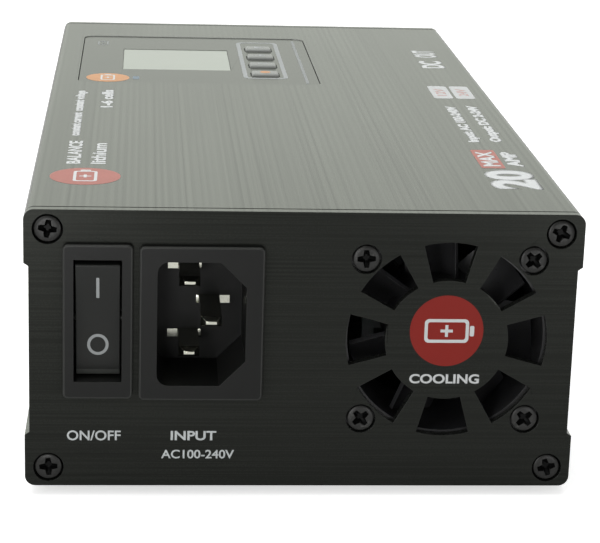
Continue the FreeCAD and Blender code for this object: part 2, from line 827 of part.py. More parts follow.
def inlet_housing():
    """The three-pin mains inlet's body, with the cavity that takes the mains lead's connector."""
    z = inlet_z
    flange_front = y_front - flange_thickness
    flange = along_y(rectangle(inlet_x, z, inlet_flange_width, inlet_flange_length,
                               flange_corner), flange_front, y_front)
    cavity_back = y_front + inlet_cavity_depth
    body = along_y(rectangle(inlet_x, z, inlet_body_width, inlet_body_length),
                   y_front, cavity_back + inlet_back_wall)
    half = inlet_body_length / 2
    latches = [latch(inlet_x, z + side * half, side, inlet_latch_width) for side in (1, -1)]
    hw, hl = inlet_cavity_width / 2, inlet_cavity_length / 2
    c, r = inlet_cavity_chamfer, inlet_cavity_corner
    corners = [(inlet_x - hw, z - hl, r), (inlet_x + hw - c, z - hl), (inlet_x + hw, z - hl + c),
               (inlet_x + hw, z + hl - c), (inlet_x + hw - c, z + hl), (inlet_x - hw, z + hl, r)]
    tools = [along_y(corners, flange_front, cavity_back)]
    for x, pin_z, _, way in inlet_pin_places():
        tools.append(along_y(rectangle(x + way * shoulder_shift, pin_z, shoulder_width,
                                       shoulder_thickness), cavity_back, cavity_back + inlet_back_wall))
    return less(joined([flange, body, *latches]), tools)


# ================================================================ display and keys
def display_overlay():
    """The thin cover in the lid's pocket, open for the screen and the keys."""
    z0 = z_high - pocket_depth
    z1 = z0 + overlay_thickness
    plate = along_z(pocket_corners(overlay_gap), z0, z1)
    return less(plate, [screen_opening(0, z0, z1), *key_openings(key_gap, z0, z1)])


def display_cell():
    """The liquid crystal module: a body under the cover, and its face in the cover's window."""
    body_top = z_high - pocket_depth - cell_drop
    face_top = z_high - pocket_depth + overlay_thickness - cell_face_drop
    body = screen_opening(screen_border, body_top - cell_thickness, body_top)
    return joined([body, screen_opening(-cell_face_gap, body_top, face_top)])


def display_lamp_frame():
    """The white light frame that carries the cell on the control board."""
    top = z_high - pocket_depth - cell_drop - cell_thickness
    return screen_opening(screen_border + lamp_frame_rim, control_board_top(), top)


def control_board_top():
    """The height of the control board's upper face."""
    return z_ceiling - control_board_drop


def spacer_places():
    """The four corners where the control board hangs from the lid."""
    half_w = control_board_width / 2 - spacer_inset
    half_l = control_board_length / 2 - spacer_inset
    return [(pocket_x + sx * half_w, pocket_y + sy * half_l) for sx in (-1, 1) for sy in (-1, 1)]


def control_board():
    """The board behind the lid that carries the display and the key switches."""
    top = control_board_top()
    return along_z(rectangle(pocket_x, pocket_y, control_board_width, control_board_length),
                   top - board_thickness, top)


def control_board_spacers():
    """Four hexagonal spacers between the lid and the control board."""
    top = control_board_top()
    size = across_corners(spacer_across_flats)
    return [along_z(polygon(6, size, x, y), top, z_ceiling) for x, y in spacer_places()]


def tact_switches():
    """The small push switches under the keys, each open for a key's stem."""
    low = control_board_top()
    pieces = []
    for x, y in key_places():
        body = along_z(rectangle(x, y, tact_size, tact_size), low, low + tact_height)
        width = key_stem_width + 2 * tact_wall_gap
        well = along_z(rectangle(x, y, width, width), low + tact_bottom, low + tact_height)
        pieces.append(body.cut(well))
    return pieces


def key(index):
    """One key: the cap that shows, the flange that keeps it in, and the stem on its switch."""
    x, y = key_places()[index]
    flange_top = z_ceiling - key_gap
    flange_low = flange_top - key_flange_thickness
    cap = along_z(rectangle(x, y, key_width, key_length), flange_top, z_high + key_rise)
    top_edges = [e for e in cap.Edges if e.BoundBox.ZMin > z_high]
    cap = cap.makeChamfer(key_bevel, top_edges)
    flange = along_z(rectangle(x, y, key_width + 2 * key_flange_rim, key_length + 2 * key_flange_rim),
                     flange_low, flange_top)
    stem_end = control_board_top() + tact_bottom + key_travel + key_gap
    stem = along_z(rectangle(x, y, key_stem_width, key_stem_width), stem_end, flange_low)
    return joined([cap, flange, stem])


# ================================================================ output end
def socket_places():
    """The middle of the positive and of the negative output socket."""
    z = z_low + socket_height
    return [(positive_socket_x, z), (negative_socket_x, z)]


def socket_collar(x, z):
    """The moulded collar and barrel that insulate one output socket from the panel."""
    front = y_rear + socket_collar_thickness
    end = shell_rear - socket_barrel_inside
    flange = rod(socket_collar_radius, V(x, front, z), V(x, y_rear, z))
    barrel = rod(socket_barrel_radius, V(x, y_rear, z), V(x, end, z))
    return joined([flange, barrel]).cut(rod(socket_tube_radius, V(x, front, z), V(x, end, z)))


def socket_contact(x, z):
    """The metal tube that a 4 mm plug slides into."""
    mouth = y_rear + socket_collar_thickness
    end = mouth - socket_bore_depth - socket_solid_end
    tube = rod(socket_tube_radius, V(x, mouth, z), V(x, end, z))
    return tube.cut(rod(socket_bore_radius, V(x, mouth, z), V(x, mouth - socket_bore_depth, z)))


def socket_nut(x, z):
    """The nut that clamps a socket from inside, on the end of its barrel."""
    end = shell_rear - socket_barrel_inside
    size = across_corners(socket_nut_across_flats)
    nut = along_y(polygon(6, size, x, z), end - socket_nut_thickness, end)
    return nut.cut(rod(socket_tube_radius, V(x, end - socket_nut_thickness, z), V(x, end, z)))


def output_bus_bar(x, z):
    """The copper strip from a socket's inner end down to the main board."""
    back = y_rear + socket_collar_thickness - socket_bore_depth - socket_solid_end
    front = back - bus_bar_thickness
    half = bus_bar_width / 2
    upright = block(x - half, x + half, front, back, board_top, z + socket_tube_radius)
    foot = block(x - half, x + half, front - bus_bar_foot, front, board_top,
                 board_top + bus_bar_thickness)
    return joined([upright, foot])


def header_corners(gap):
    """The outline of the balance header, grown by a gap."""
    length = balance_pitch * (balance_pins - 1) + 2 * balance_end
    return rectangle(balance_x, z_low + socket_height, length + 2 * gap,
                     balance_header_height + 2 * gap)


def balance_header():
    """The moulded shroud of the balance connector, open to the rear, with two keying slots."""
    z = z_low + socket_height
    mouth = y_rear + balance_header_proud
    back = mouth - balance_header_depth
    body = along_y(header_corners(0), back, mouth)
    rim = along_y(header_corners(balance_header_wall), back, shell_rear)
    length = balance_pitch * (balance_pins - 1) + 2 * balance_end
    wall_gap = 2 * balance_header_wall
    hollow = along_y(rectangle(balance_x, z, length - wall_gap, balance_header_height - wall_gap),
                     back + balance_floor, mouth)
    tools = [hollow]
    half_slot = balance_slot_width / 2
    slot_top = z + balance_header_height / 2 + cut_margin
    for side in (-1, 1):
        x = balance_x + side * balance_pitch
        tools.append(block(x - half_slot, x + half_slot, shell_rear + balance_slot_start, mouth,
                           z, slot_top))
    tools += [along_y(rectangle(x, z, balance_pin_size, balance_pin_size), back, back + balance_floor)
              for x in balance_pin_xs()]
    return less(joined([body, rim]), tools)


def balance_pin_xs():
    """The places of the header's pins across the panel."""
    first = balance_x - balance_pitch * (balance_pins - 1) / 2
    return [first + i * balance_pitch for i in range(balance_pins)]


def balance_contacts():
    """The square pins of the balance header, with tails towards the main board."""
    z = z_low + socket_height
    back = y_rear + balance_header_proud - balance_header_depth
    tip = y_rear + balance_header_proud - balance_pin_recess
    bend = back - balance_tail
    half = balance_pin_size / 2
    pieces = []
    for x in balance_pin_xs():
        pin = along_y(rectangle(x, z, balance_pin_size, balance_pin_size), bend, tip)
        leg = block(x - half, x + half, bend - balance_pin_size, bend, board_top, z + half)
        pieces.append(joined([pin, leg]))
    return pieces


# ================================================================ main board and its parts
def from_left(inset):
    """X of a place an inset away from the main board's left edge."""
    return -board_half + inset


def from_right(inset):
    """X of a place an inset away from the main board's right edge."""
    return board_half - inset


def main_board():
    """The power board, held by its long edges in the lower shell's grooves."""
    return block(-board_half, board_half, board_front, board_rear, board_low, board_top)


def insulating_sheet():
    """The thin sheet between the board's solder side and the metal floor."""
    half = inner_half - sheet_side_gap
    return block(-half, half, board_front + sheet_inset, board_rear - sheet_inset,
                 z_floor, z_floor + sheet_thickness)


def boxed(x, y, size, lift=0.0):
    """A rectangular part of a given (x, y, z) size standing on the main board."""
    base = board_top + lift
    return along_z(rectangle(x, y, size[0], size[1]), base, base + size[2])


def standing_can(x, y, radius, height):
    """An upright can capacitor."""
    return along_z(polygon(can_sides, 2 * radius, x, y), board_top, board_top + height)


def wound_core(x, y, size):
    """(core, winding, bobbin) of a coil on an E core that stands on its bobbin's two cheeks."""
    width, length, height = size
    leg = width * core_leg_share
    yoke = width * core_yoke_share
    window_x = (width - leg) / 2 - yoke
    window_y = length - 2 * yoke
    middle = board_top + height / 2
    core_half = height / 2 - bobbin_cheek - winding_gap - yoke
    low, high = middle - core_half, middle + core_half
    frame = along_z(rectangle(x, y, width, length), low, high)
    windows = [along_z(rectangle(x + side * (leg + window_x) / 2, y, window_x, window_y), low, high)
               for side in (-1, 1)]
    tunnel = (leg + 2 * winding_gap, 2 * core_half + 2 * winding_gap)
    outer_x = width - 2 * yoke - 2 * winding_gap
    cheek_y = window_y / 2 - winding_gap
    coil_y = cheek_y - bobbin_cheek
    coil = along_y(rectangle(x, middle, outer_x, height - 2 * bobbin_cheek), y - coil_y, y + coil_y)
    hole = along_y(rectangle(x, middle, *tunnel), y - cheek_y, y + cheek_y)
    cheeks = [along_y(rectangle(x, middle, outer_x, height), y + y0, y + y1).cut(hole)
              for y0, y1 in ((-cheek_y, -coil_y), (coil_y, cheek_y))]
    return less(frame, windows), coil.cut(hole), cheeks


def finned_heatsink(x, y, length, fin_length):
    """An upright extruded heat sink with level fins that point along +X."""
    y0, y1 = y - length / 2, y + length / 2
    back = x + heatsink_base
    top = board_top + heatsink_height
    pieces = [block(x, back, y0, y1, board_top, top)]
    lowest = board_top + heatsink_foot_clear
    pitch = (top - heatsink_fin_thickness - lowest) / (heatsink_fins - 1)
    for i in range(heatsink_fins):
        z = lowest + i * pitch
        pieces.append(block(back, back + fin_length, y0, y1, z, z + heatsink_fin_thickness))
    return joined(pieces)


def power_package(x, y, size, lead_count):
    """A flat package against a heat sink's back at x, with its leads in the main board."""
    middle = x - size[0] / 2
    pieces = [boxed(middle, y, size, package_lift)]
    for i in range(lead_count):
        lead_y = y + (i - (lead_count - 1) / 2) * lead_pitch
        pieces.append(boxed(middle, lead_y, (lead_thickness, lead_width, package_lift)))
    return joined(pieces)


def control_card():
    """The upright control card beside the transformer, with its chips."""
    x, y = from_left(control_card_inset), y_rear - control_card_from_rear
    pieces = [boxed(x, y, control_card_size)]
    lift = (control_card_size[2] - chip_size[2]) / 2
    chip_x = x + (control_card_size[0] + chip_size[0]) / 2
    for side in (-1, 1):
        pieces.append(boxed(chip_x, y + side * chip_spacing / 2, chip_size, lift))
    return joined(pieces)


def display_ribbon():
    """The flat cable between the control card and the control board."""
    x, y = from_left(control_card_inset), y_rear - control_card_from_rear
    low = board_top + control_card_size[2]
    high = control_board_top() - board_thickness
    return along_z(rectangle(x, y, ribbon_thickness, ribbon_width), low, high)


def write_case():
    """The case, its feet and its screws."""
    export("top_shell", [top_shell()])
    export("bottom_shell", [bottom_shell()])
    export("input_panel", [input_panel()])
    export("output_panel", [output_panel()])
    export("case_screws", case_screws())
    export("feet", feet())


def write_mains_end():
    """The switch, the inlet and the fan."""
    export("switch_housing", [switch_housing()])
    export("switch_rocker", [switch_rocker()])
    export("switch_terminals", switch_terminals())
    export("inlet_housing", [inlet_housing()])
    export("inlet_contacts", [inlet_pin(*place) for place in inlet_pin_places()])
    export("fan_frame", [fan_frame()])
    export("fan_impeller", [fan_impeller()])
    export("fan_shaft", [fan_shaft()])
    export("fan_bearing", [fan_bearing()])
    export("fan_screws", fan_screws())


def write_display():
    """The display and the keys in the lid."""
    export("display_overlay", [display_overlay()])
    export("display_cell", [display_cell()])
    export("display_lamp_frame", [display_lamp_frame()])
    export("control_board", [control_board()])
    export("control_board_spacers", control_board_spacers())
    export("tact_switches", tact_switches())
    for index in range(key_count):
        export(f"key_{index + 1}", [key(index)])


def write_output_end():
    """The output sockets and the balance header."""
    positive, negative = socket_places()
    export("positive_socket_collar", [socket_collar(*positive)])
    export("negative_socket_collar", [socket_collar(*negative)])
    export("socket_contacts", [socket_contact(*place) for place in (positive, negative)])
    export("socket_nuts", [socket_nut(*place) for place in (positive, negative)])
    export("output_bus_bars", [output_bus_bar(*place) for place in (positive, negative)])
    export("balance_header", [balance_header()])
    export("balance_contacts", balance_contacts())


def write_wound_parts():
    """The chokes and the transformer, each as a core, a winding and a bobbin."""
    wound = {
        "filter_choke": (from_left(filter_choke_inset), y_front + filter_choke_depth, filter_choke_size),
        "boost_choke": (from_left(boost_choke_inset), y_front + boost_choke_depth, boost_choke_size),
        "transformer": (from_left(transformer_inset), y_rear - transformer_from_rear, transformer_size),
        "output_choke": (from_left(output_choke_inset), y_rear - output_choke_from_rear,
                         output_choke_size),
    }
    for name, place in wound.items():
        core, winding, cheeks = wound_core(*place)
        export(name + "_core", [core])
        export(name + "_winding", [winding])
        export(name + "_bobbin", cheeks)


def write_capacitors():
    """The pair of bulk capacitors and the pair at the output."""
    bulk_x, bulk_y = from_left(bulk_capacitor_inset), y_front + bulk_capacitor_depth
    export("bulk_capacitors", [
        standing_can(bulk_x + side * bulk_capacitor_pitch / 2, bulk_y,
                     bulk_capacitor_radius, bulk_capacitor_height) for side in (-1, 1)])
    output_x, output_y = from_left(output_capacitor_inset), y_rear - output_capacitor_from_rear
    export("output_capacitors", [
        standing_can(output_x + side * output_capacitor_pitch / 2, output_y,
                     output_capacitor_radius, output_capacitor_height) for side in (-1, 1)])


def write_heatsinks():
    """Both heat sinks and the power packages on their backs."""
    primary = (from_right(primary_heatsink_inset), y_front + primary_heatsink_depth)
    secondary = (from_right(secondary_heatsink_inset), y_rear - secondary_heatsink_from_rear)
    export("primary_heatsink", [finned_heatsink(*primary, primary_heatsink_length, primary_fin_length)])
    export("secondary_heatsink", [finned_heatsink(*secondary, secondary_heatsink_length,
                                                  secondary_fin_length)])
    export("primary_transistors", [power_package(primary[0], primary[1] + shift, package_size, 3)
                                   for shift in (-package_pitch, 0)])
    export("bridge_rectifier", [power_package(primary[0], primary[1] + bridge_shift, bridge_size, 4)])
    export("secondary_rectifiers", [
        power_package(secondary[0], secondary[1] + shift * package_pitch, package_size, 2)
        for shift in (-1, 0, 1)])


def write_main_board():
    """The main board and the smaller parts that stand on it."""
    export("main_board", [main_board()])
    export("insulating_sheet", [insulating_sheet()])
    export("mains_fuse", [boxed(from_left(mains_fuse_inset), y_front + mains_fuse_depth,
                                mains_fuse_size)])
    export("mains_capacitor", [boxed(from_left(mains_capacitor_inset),
                                     y_front + mains_capacitor_depth, mains_capacitor_size)])
    export("inrush_relay", [boxed(from_left(relay_inset), y_front + relay_depth, relay_size)])
    export("control_card", [control_card()])
    export("display_ribbon", [display_ribbon()])


os.makedirs("parts", exist_ok=True)
write_case()
write_mains_end()
write_display()
write_output_end()
write_main_board()
write_wound_parts()
write_capacitors()
write_heatsinks()
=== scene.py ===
# The looks of the balance battery charger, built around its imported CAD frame.
# Places are in metres in the CAD frame, and MM turns millimetres into metres.
import json
import math

import bmesh
import bpy
from mathutils import Matrix, Vector
from mathutils.bvhtree import BVHTree

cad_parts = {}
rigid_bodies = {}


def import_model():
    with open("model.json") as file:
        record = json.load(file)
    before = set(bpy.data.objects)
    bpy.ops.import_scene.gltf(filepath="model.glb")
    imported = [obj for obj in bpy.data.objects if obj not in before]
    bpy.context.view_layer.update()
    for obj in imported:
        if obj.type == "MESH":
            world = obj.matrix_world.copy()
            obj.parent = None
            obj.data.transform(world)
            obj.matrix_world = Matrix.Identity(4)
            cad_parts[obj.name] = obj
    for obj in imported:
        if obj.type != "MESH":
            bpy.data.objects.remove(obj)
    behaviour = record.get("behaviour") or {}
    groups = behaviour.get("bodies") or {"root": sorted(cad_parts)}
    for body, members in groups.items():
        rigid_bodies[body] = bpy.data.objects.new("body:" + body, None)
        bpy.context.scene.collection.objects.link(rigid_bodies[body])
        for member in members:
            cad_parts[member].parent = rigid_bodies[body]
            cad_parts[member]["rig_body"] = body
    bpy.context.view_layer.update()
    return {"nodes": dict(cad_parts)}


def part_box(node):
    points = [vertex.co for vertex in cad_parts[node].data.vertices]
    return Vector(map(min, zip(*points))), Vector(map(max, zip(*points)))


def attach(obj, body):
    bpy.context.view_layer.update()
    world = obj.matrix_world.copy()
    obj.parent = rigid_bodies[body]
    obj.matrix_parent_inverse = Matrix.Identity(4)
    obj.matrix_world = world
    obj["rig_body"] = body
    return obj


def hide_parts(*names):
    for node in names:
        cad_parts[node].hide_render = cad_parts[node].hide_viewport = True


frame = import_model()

MM = 0.001
X, Y, Z = Vector((1, 0, 0)), Vector((0, 1, 0)), Vector((0, 0, 1))
PRINT_THICKNESS = 0.03 * MM
LETTER_THICKNESS = 2 * PRINT_THICKNESS
LETTER_LIFT = 0.1 * PRINT_THICKNESS
WELD_DISTANCE = 0.002 * MM  # vertices nearer than this are one
PRINT_WELD_DISTANCE = 0.0005 * MM
LETTER_WELD_DISTANCE = 1e-6  # as a share of the letters' size
SMOOTH_ANGLE = 35  # edges that turn by less than this many degrees are shaded smooth
THREAD_SMOOTH_ANGLE = 32
BEVEL_ANGLE = 28  # edges that turn by more than this many degrees are rounded
THREAD_BEVEL_ANGLE = 40
FACE_WEIGHT = 60  # above 50, large faces count for more than small ones in the shading

# Printing inks, as linear colours.
WHITE_INK = (0.72, 0.74, 0.74)
GREY_INK = (0.56, 0.59, 0.59)
RED_INK = (0.185, 0.013, 0.009)
LID_RED_INK = (0.46, 0.155, 0.130)
SQUARE_INK = (0.60, 0.42, 0.40)
ORANGE_INK = (0.66, 0.34, 0.17)
BLUE_INK = (0.22, 0.28, 0.33)


# ================================================================ node helpers
class Nodes:
    """Short ways to add and link shader nodes."""

    def __init__(self, tree):
        self.tree = tree
        tree.nodes.clear()

    def add(self, kind, inputs=None, **settings):
        node = self.tree.nodes.new(kind)
        for key, value in settings.items():
            setattr(node, key, value)
        for key, value in (inputs or {}).items():
            if isinstance(value, bpy.types.NodeSocket):
                self.tree.links.new(value, node.inputs[key])
            else:
                node.inputs[key].default_value = value
        return node

    def place(self, scale):
        """The object's own coordinates, in cells per millimetre along each axis."""
        coordinates = self.add("ShaderNodeTexCoord")
        cells = [count / MM for count in scale]
        mapping = self.add("ShaderNodeMapping", {"Vector": coordinates.outputs["Object"],
                                                 "Scale": cells})
        return mapping.outputs["Vector"]

    def noise(self, scale, detail, roughness=0.55):
        node = self.add("ShaderNodeTexNoise", {"Vector": self.place(scale), "Scale": 1.0,
                                               "Detail": detail, "Roughness": roughness})
        return node.outputs["Fac"]

    def span(self, value, low, high, start=0.3, end=0.7):
        """A value stretched from start..end to low..high."""
        node = self.add("ShaderNodeMapRange", {"Value": value, "From Min": start, "From Max": end,
                                               "To Min": low, "To Max": high})
        return node.outputs["Result"]

    def math(self, operation, a, b):
        return self.add("ShaderNodeMath", {0: a, 1: b}, operation=operation).outputs[0]

    def blend(self, factor, a, b):
        """A colour that goes from a to b with the factor."""
        node = self.add("ShaderNodeMix", data_type="RGBA")
        for socket, value in ((0, factor), (6, a), (7, b)):
            if isinstance(value, bpy.types.NodeSocket):
                self.tree.links.new(value, node.inputs[socket])
            else:
                node.inputs[socket].default_value = value if socket == 0 else (*value, 1)
        return node.outputs[2]

    def bump(self, height, depth, below=None):
        """A bump of a given depth in metres, on top of another one."""
        inputs = {"Height": height, "Distance": depth, "Strength": 1.0}
        if below is not None:
            inputs["Normal"] = below
        return self.add("ShaderNodeBump", inputs).outputs["Normal"]


def shaded(colour, share):
    """A colour made darker or lighter by a share."""
    return tuple(min(1.0, channel * share) for channel in colour)


MOTTLE_CELLS = (0.05, 0.05, 0.05)
CHIP_CELLS = (0.8, 0.8, 0.8)
CHIP_RANGE = (0.56, 0.66)  # worn spots start and are whole at these shares of their noise
STREAK_SHARES = (0.5, 1.0)  # the strengths of the finer and the coarser brushing
WAVE_SCALE = math.pi / 10  # the scale at which a wave texture repeats once per millimetre
RIB_PATCH_CELLS = (0.05, 0.006, 0.05)
RIB_PATCH_RANGE = (0.38, 0.62)
RIB_SHADE = 1.4
RIB_SHARE = 0.5
COAT_ROUGHNESS = 0.1


def surface(name, colour, roughness, metallic=0.0, level=0.5, coat=0.0, mottle=0.12,
            grain=3.0, grain_depth=0.004, spread=0.06, streak=None, streak_depth=0.0,
            streak_tone=0.0, streak_rough=0.06, streak_shade=2.2, streak_cells=(3.0, 0.9),
            streak_length=80, streak_range=(0.3, 0.7), ribs=None, worn=None, tint=(1, 1, 1)):
    """A finish with slow mottling, fine grain and, where asked, brushing along one axis.

    Depths are in millimetres and cells are per millimetre. Ribs are the regular die lines of an
    extrusion, at a pitch in millimetres across the part.
    """
    made = bpy.data.materials.new(name)
    made.use_nodes = True
    nodes = Nodes(made.node_tree)
    slow = nodes.noise(MOTTLE_CELLS, detail=4.0)
    fine = nodes.noise((grain, grain, grain), detail=3.0)
    tone = nodes.blend(nodes.span(slow, 0, 1), shaded(colour, 1 - mottle), shaded(colour, 1 + mottle))
    rough = nodes.span(fine, roughness - spread, roughness + spread)
    normal = nodes.bump(fine, grain_depth * MM)
    if streak is not None:
        for cells, share in zip(streak_cells, STREAK_SHARES):
            along = [cells] * 3
            along["xyz".index(streak)] = cells / streak_length
            lines = nodes.noise(along, detail=2.0, roughness=0.6)
            normal = nodes.bump(lines, streak_depth * share * MM, normal)
            change = nodes.span(lines, 0, streak_tone * share, *streak_range)
            tone = nodes.blend(change, tone, shaded(colour, streak_shade))
            reach = streak_rough * share
            rough = nodes.math("ADD", rough, nodes.span(lines, -reach, reach, *streak_range))
    if ribs is not None:
        wave = nodes.add("ShaderNodeTexWave", {"Vector": nodes.place((1, 1, 1)),
                                               "Scale": WAVE_SCALE / ribs})
        patches = nodes.noise(RIB_PATCH_CELLS, detail=2.0)
        patches = nodes.span(patches, 0.0, 1.0, *RIB_PATCH_RANGE)
        lines = nodes.math("MULTIPLY", wave.outputs["Fac"], patches)
        ribbed = shaded(colour, streak_shade * RIB_SHADE)
        tone = nodes.blend(nodes.math("MULTIPLY", lines, RIB_SHARE), tone, ribbed)
        rough = nodes.math("SUBTRACT", rough, nodes.math("MULTIPLY", lines, streak_rough))
    if worn is not None:
        chips = nodes.noise(CHIP_CELLS, detail=6.0, roughness=0.7)
        chips = nodes.span(chips, 0, 1, *CHIP_RANGE)
        tone = nodes.blend(chips, tone, worn)
    inputs = {"Base Color": tone, "Roughness": rough, "Metallic": metallic, "Normal": normal,
              "Specular IOR Level": level, "Coat Weight": coat, "Coat Roughness": COAT_ROUGHNESS,
              "Specular Tint": (*tint, 1)}
    shader = nodes.add("ShaderNodeBsdfPrincipled", inputs)
    nodes.add("ShaderNodeOutputMaterial", {"Surface": shader.outputs["BSDF"]})
    return made


def ink(name, colour, roughness=0.5, level=0.35):
    """Screen printing: a flat colour with slight thin spots."""
    return surface(name, colour, roughness, level=level, mottle=0.05, grain=8.0, grain_depth=0.003)


# ================================================================ materials
LID_BLACK = (0.028, 0.030, 0.0255)
LID_TINT = (0.96, 1.0, 0.90)
PANEL_BLACK = (0.0056, 0.0060, 0.0053)
PLASTIC_BLACK = (0.0070, 0.0074, 0.0068)

# The finish of each material, under the name that the pieces below ask for.
finish = {
    "lid": surface("anodised_lid", LID_BLACK, 0.20, level=1.0, tint=LID_TINT, mottle=0.05,
                   grain_depth=0.001, spread=0.02, streak="y", streak_depth=0.006, streak_tone=1.0,
                   streak_rough=0.012, streak_shade=3.4, streak_cells=(2.8, 1.3),
                   streak_length=1200, streak_range=(0.36, 0.64), ribs=1.5),
    # Painted light: the pocket's walls are black metal like the lid, but pale grey here to lift the
    # shade in the pocket.
    "pocket_wall": surface("pocket_wall", (0.32, 0.33, 0.31), 0.35, level=0.5, mottle=0.1),
    "panel": surface("anodised_panel", PANEL_BLACK, 0.26, level=0.13, tint=LID_TINT, mottle=0.10,
                     grain_depth=0.002, spread=0.05,
                     streak="x", streak_depth=0.008, streak_tone=1.4, streak_cells=(5.0, 2.4),
                     streak_length=160),
    # The panels' rounded edges are lighter than the panel: partly painted highlight, partly real wear
    # in the chips.
    "panel_edge": surface("panel_edge", shaded(PANEL_BLACK, 1.6), 0.36, level=0.3, mottle=0.2,
                          worn=(0.03, 0.03, 0.028)),
    "screw": surface("black_steel", (0.014, 0.014, 0.013), 0.36, level=0.28, mottle=0.2,
                     grain=6.0, grain_depth=0.006, worn=(0.026, 0.026, 0.024)),
    "fan_screw": surface("worn_black_steel", (0.017, 0.017, 0.016), 0.36, level=0.25, mottle=0.25,
                         grain=6.0, grain_depth=0.006, worn=(0.050, 0.050, 0.047)),
    "rubber": surface("foot_rubber", (0.012, 0.012, 0.012), 0.75, level=0.3, grain_depth=0.02),
    "plastic": surface("moulded_plastic", PLASTIC_BLACK, 0.38, level=0.17, mottle=0.08, grain=5.0,
                       grain_depth=0.008),
    # Painted highlight: the rounded edges of the moulded plastic are lighter than the plastic itself.
    "plastic_edge": surface("moulded_edge_painted_highlight", (0.022, 0.023, 0.021), 0.40, level=0.24, mottle=0.1),
    # Painted shade: the shells' end faces in the gaps at the end panels are near black.
    "seam": surface("end_gap", (0.005, 0.005, 0.005), 0.6, level=0.1, mottle=0.1),
    # Painted shade: each screw's cross recess is near black, darker than the head's steel.
    "recess": surface("screw_recess_painted_shade", (0.003, 0.003, 0.003), 0.35, level=0.10, mottle=0.3),
    "rocker": surface("rocker_plastic", (0.0125, 0.0134, 0.0121), 0.36, level=0.22, mottle=0.08,
                      grain=5.0, grain_depth=0.006),
    # Painted light: the rocker's lower end is lighter than the rocker to lift the shade deep in the
    # switch's well.
    "rocker_end": surface("rocker_end", (0.034, 0.036, 0.033), 0.36, level=0.3, mottle=0.08,
                          grain=5.0, grain_depth=0.006),
    "fan": surface("fan_plastic", (0.020, 0.020, 0.021), 0.33, level=0.5, mottle=0.1, grain=2.0,
                   grain_depth=0.006),
    "bronze": surface("sintered_bronze", (0.55, 0.33, 0.14), 0.42, metallic=1.0, grain=9.0),
    "steel": surface("ground_steel", (0.60, 0.60, 0.59), 0.28, metallic=1.0, streak="y",
                     streak_depth=0.002),
    "tinned": surface("tinned_brass", (0.52, 0.525, 0.455), 0.20, metallic=1.0, mottle=0.10,
                      grain=2.0, grain_depth=0.003, worn=(0.46, 0.41, 0.30)),
    "nickel": surface("nickel", (0.72, 0.70, 0.66), 0.22, metallic=1.0, grain=2.0,
                      grain_depth=0.002),
    "copper": surface("copper", (0.80, 0.38, 0.22), 0.32, metallic=1.0, streak="z",
                      streak_depth=0.002, worn=(0.45, 0.20, 0.12)),
    "overlay": surface("display_cover", shaded(LID_BLACK, 1.9), 0.19, level=1.0, tint=LID_TINT,
                       mottle=0.05, grain=7.0, grain_depth=0.001, spread=0.02),
    "lcd": surface("liquid_crystal", (0.40, 0.44, 0.38), 0.25, coat=0.5, mottle=0.03, grain=5.0,
                   grain_depth=0.001, spread=0.02),
    "white_plastic": surface("white_plastic", (0.72, 0.72, 0.70), 0.45),
    "key": surface("key_rubber", (0.320, 0.333, 0.316), 0.26, level=0.18, mottle=0.08, grain=5.0,
                   grain_depth=0.002, spread=0.03),
    "board": surface("board_laminate", (0.014, 0.075, 0.030), 0.35, mottle=0.15, coat=0.3,
                     grain=1.2, grain_depth=0.01, worn=(0.02, 0.11, 0.045)),
    "red_plastic": surface("red_plastic", (0.46, 0.018, 0.014), 0.34, mottle=0.06, grain=4.0),
    "header": surface("header_nylon", (0.66, 0.63, 0.54), 0.42, mottle=0.05, grain=3.0),
    "sheet": surface("insulating_sheet", (0.40, 0.30, 0.12), 0.38, mottle=0.15),
    "ferrite": surface("ferrite", (0.045, 0.043, 0.045), 0.55, mottle=0.2, grain=4.0,
                       grain_depth=0.02),
    "winding": surface("wound_wire", (0.58, 0.22, 0.08), 0.32, metallic=0.7, streak="x",
                       streak_depth=0.12, streak_tone=0.3, streak_cells=(1.6, 0.9)),
    "bobbin": surface("bobbin_plastic", (0.30, 0.24, 0.05), 0.45),
    "heatsink": surface("bare_aluminium", (0.62, 0.63, 0.64), 0.40, metallic=1.0, streak="y",
                        streak_depth=0.006),
    "semiconductor": surface("moulded_package", (0.020, 0.020, 0.022), 0.55, grain=6.0,
                             grain_depth=0.01),
    "can": surface("capacitor_sleeve", (0.020, 0.028, 0.060), 0.32, coat=0.4, mottle=0.1),
    "boxed_part": surface("potted_case", (0.46, 0.30, 0.03), 0.42, mottle=0.1),
    "ribbon": surface("ribbon_cable", (0.46, 0.46, 0.47), 0.45, streak="z", streak_depth=0.08,
                      streak_tone=0.2),
    "white_ink": ink("white_ink", WHITE_INK),
    "grey_ink": ink("grey_ink", shaded(GREY_INK, 0.77)),
    # Painted shade: the lid's white ink, darkened where it lies on the upright mains end panel.
    "front_white_ink_painted_shade": ink("front_white_ink_painted_shade", shaded(WHITE_INK, 0.65)),
    # Painted shade: a darker copy of the grey marking ink for the rocker's tilted faces.
    "rocker_ink_painted_shade": ink("rocker_ink_painted_shade", shaded(GREY_INK, 0.45)),
    "mark_ink": ink("mark_ink", shaded(GREY_INK, 0.72)),
    "faint_ink": ink("faint_ink", shaded(GREY_INK, 0.58)),
    "pale_ink": ink("pale_ink", shaded(WHITE_INK, 0.88)),
    "red_ink": ink("red_ink", RED_INK, 0.42, 0.14),
    "lid_red_ink": ink("lid_red_ink", LID_RED_INK, 0.36),
    "square_ink": ink("square_ink", SQUARE_INK, 0.42),
    "orange_ink": ink("orange_ink", ORANGE_INK, 0.42),
    "blue_ink": ink("blue_ink", BLUE_INK),
}


# ================================================================ mesh helpers
def placed(name, content):
    """Puts a mesh, a curve, a lamp or a camera in the scene."""
    made = bpy.data.objects.new(name, content)
    bpy.context.scene.collection.objects.link(made)
    return made


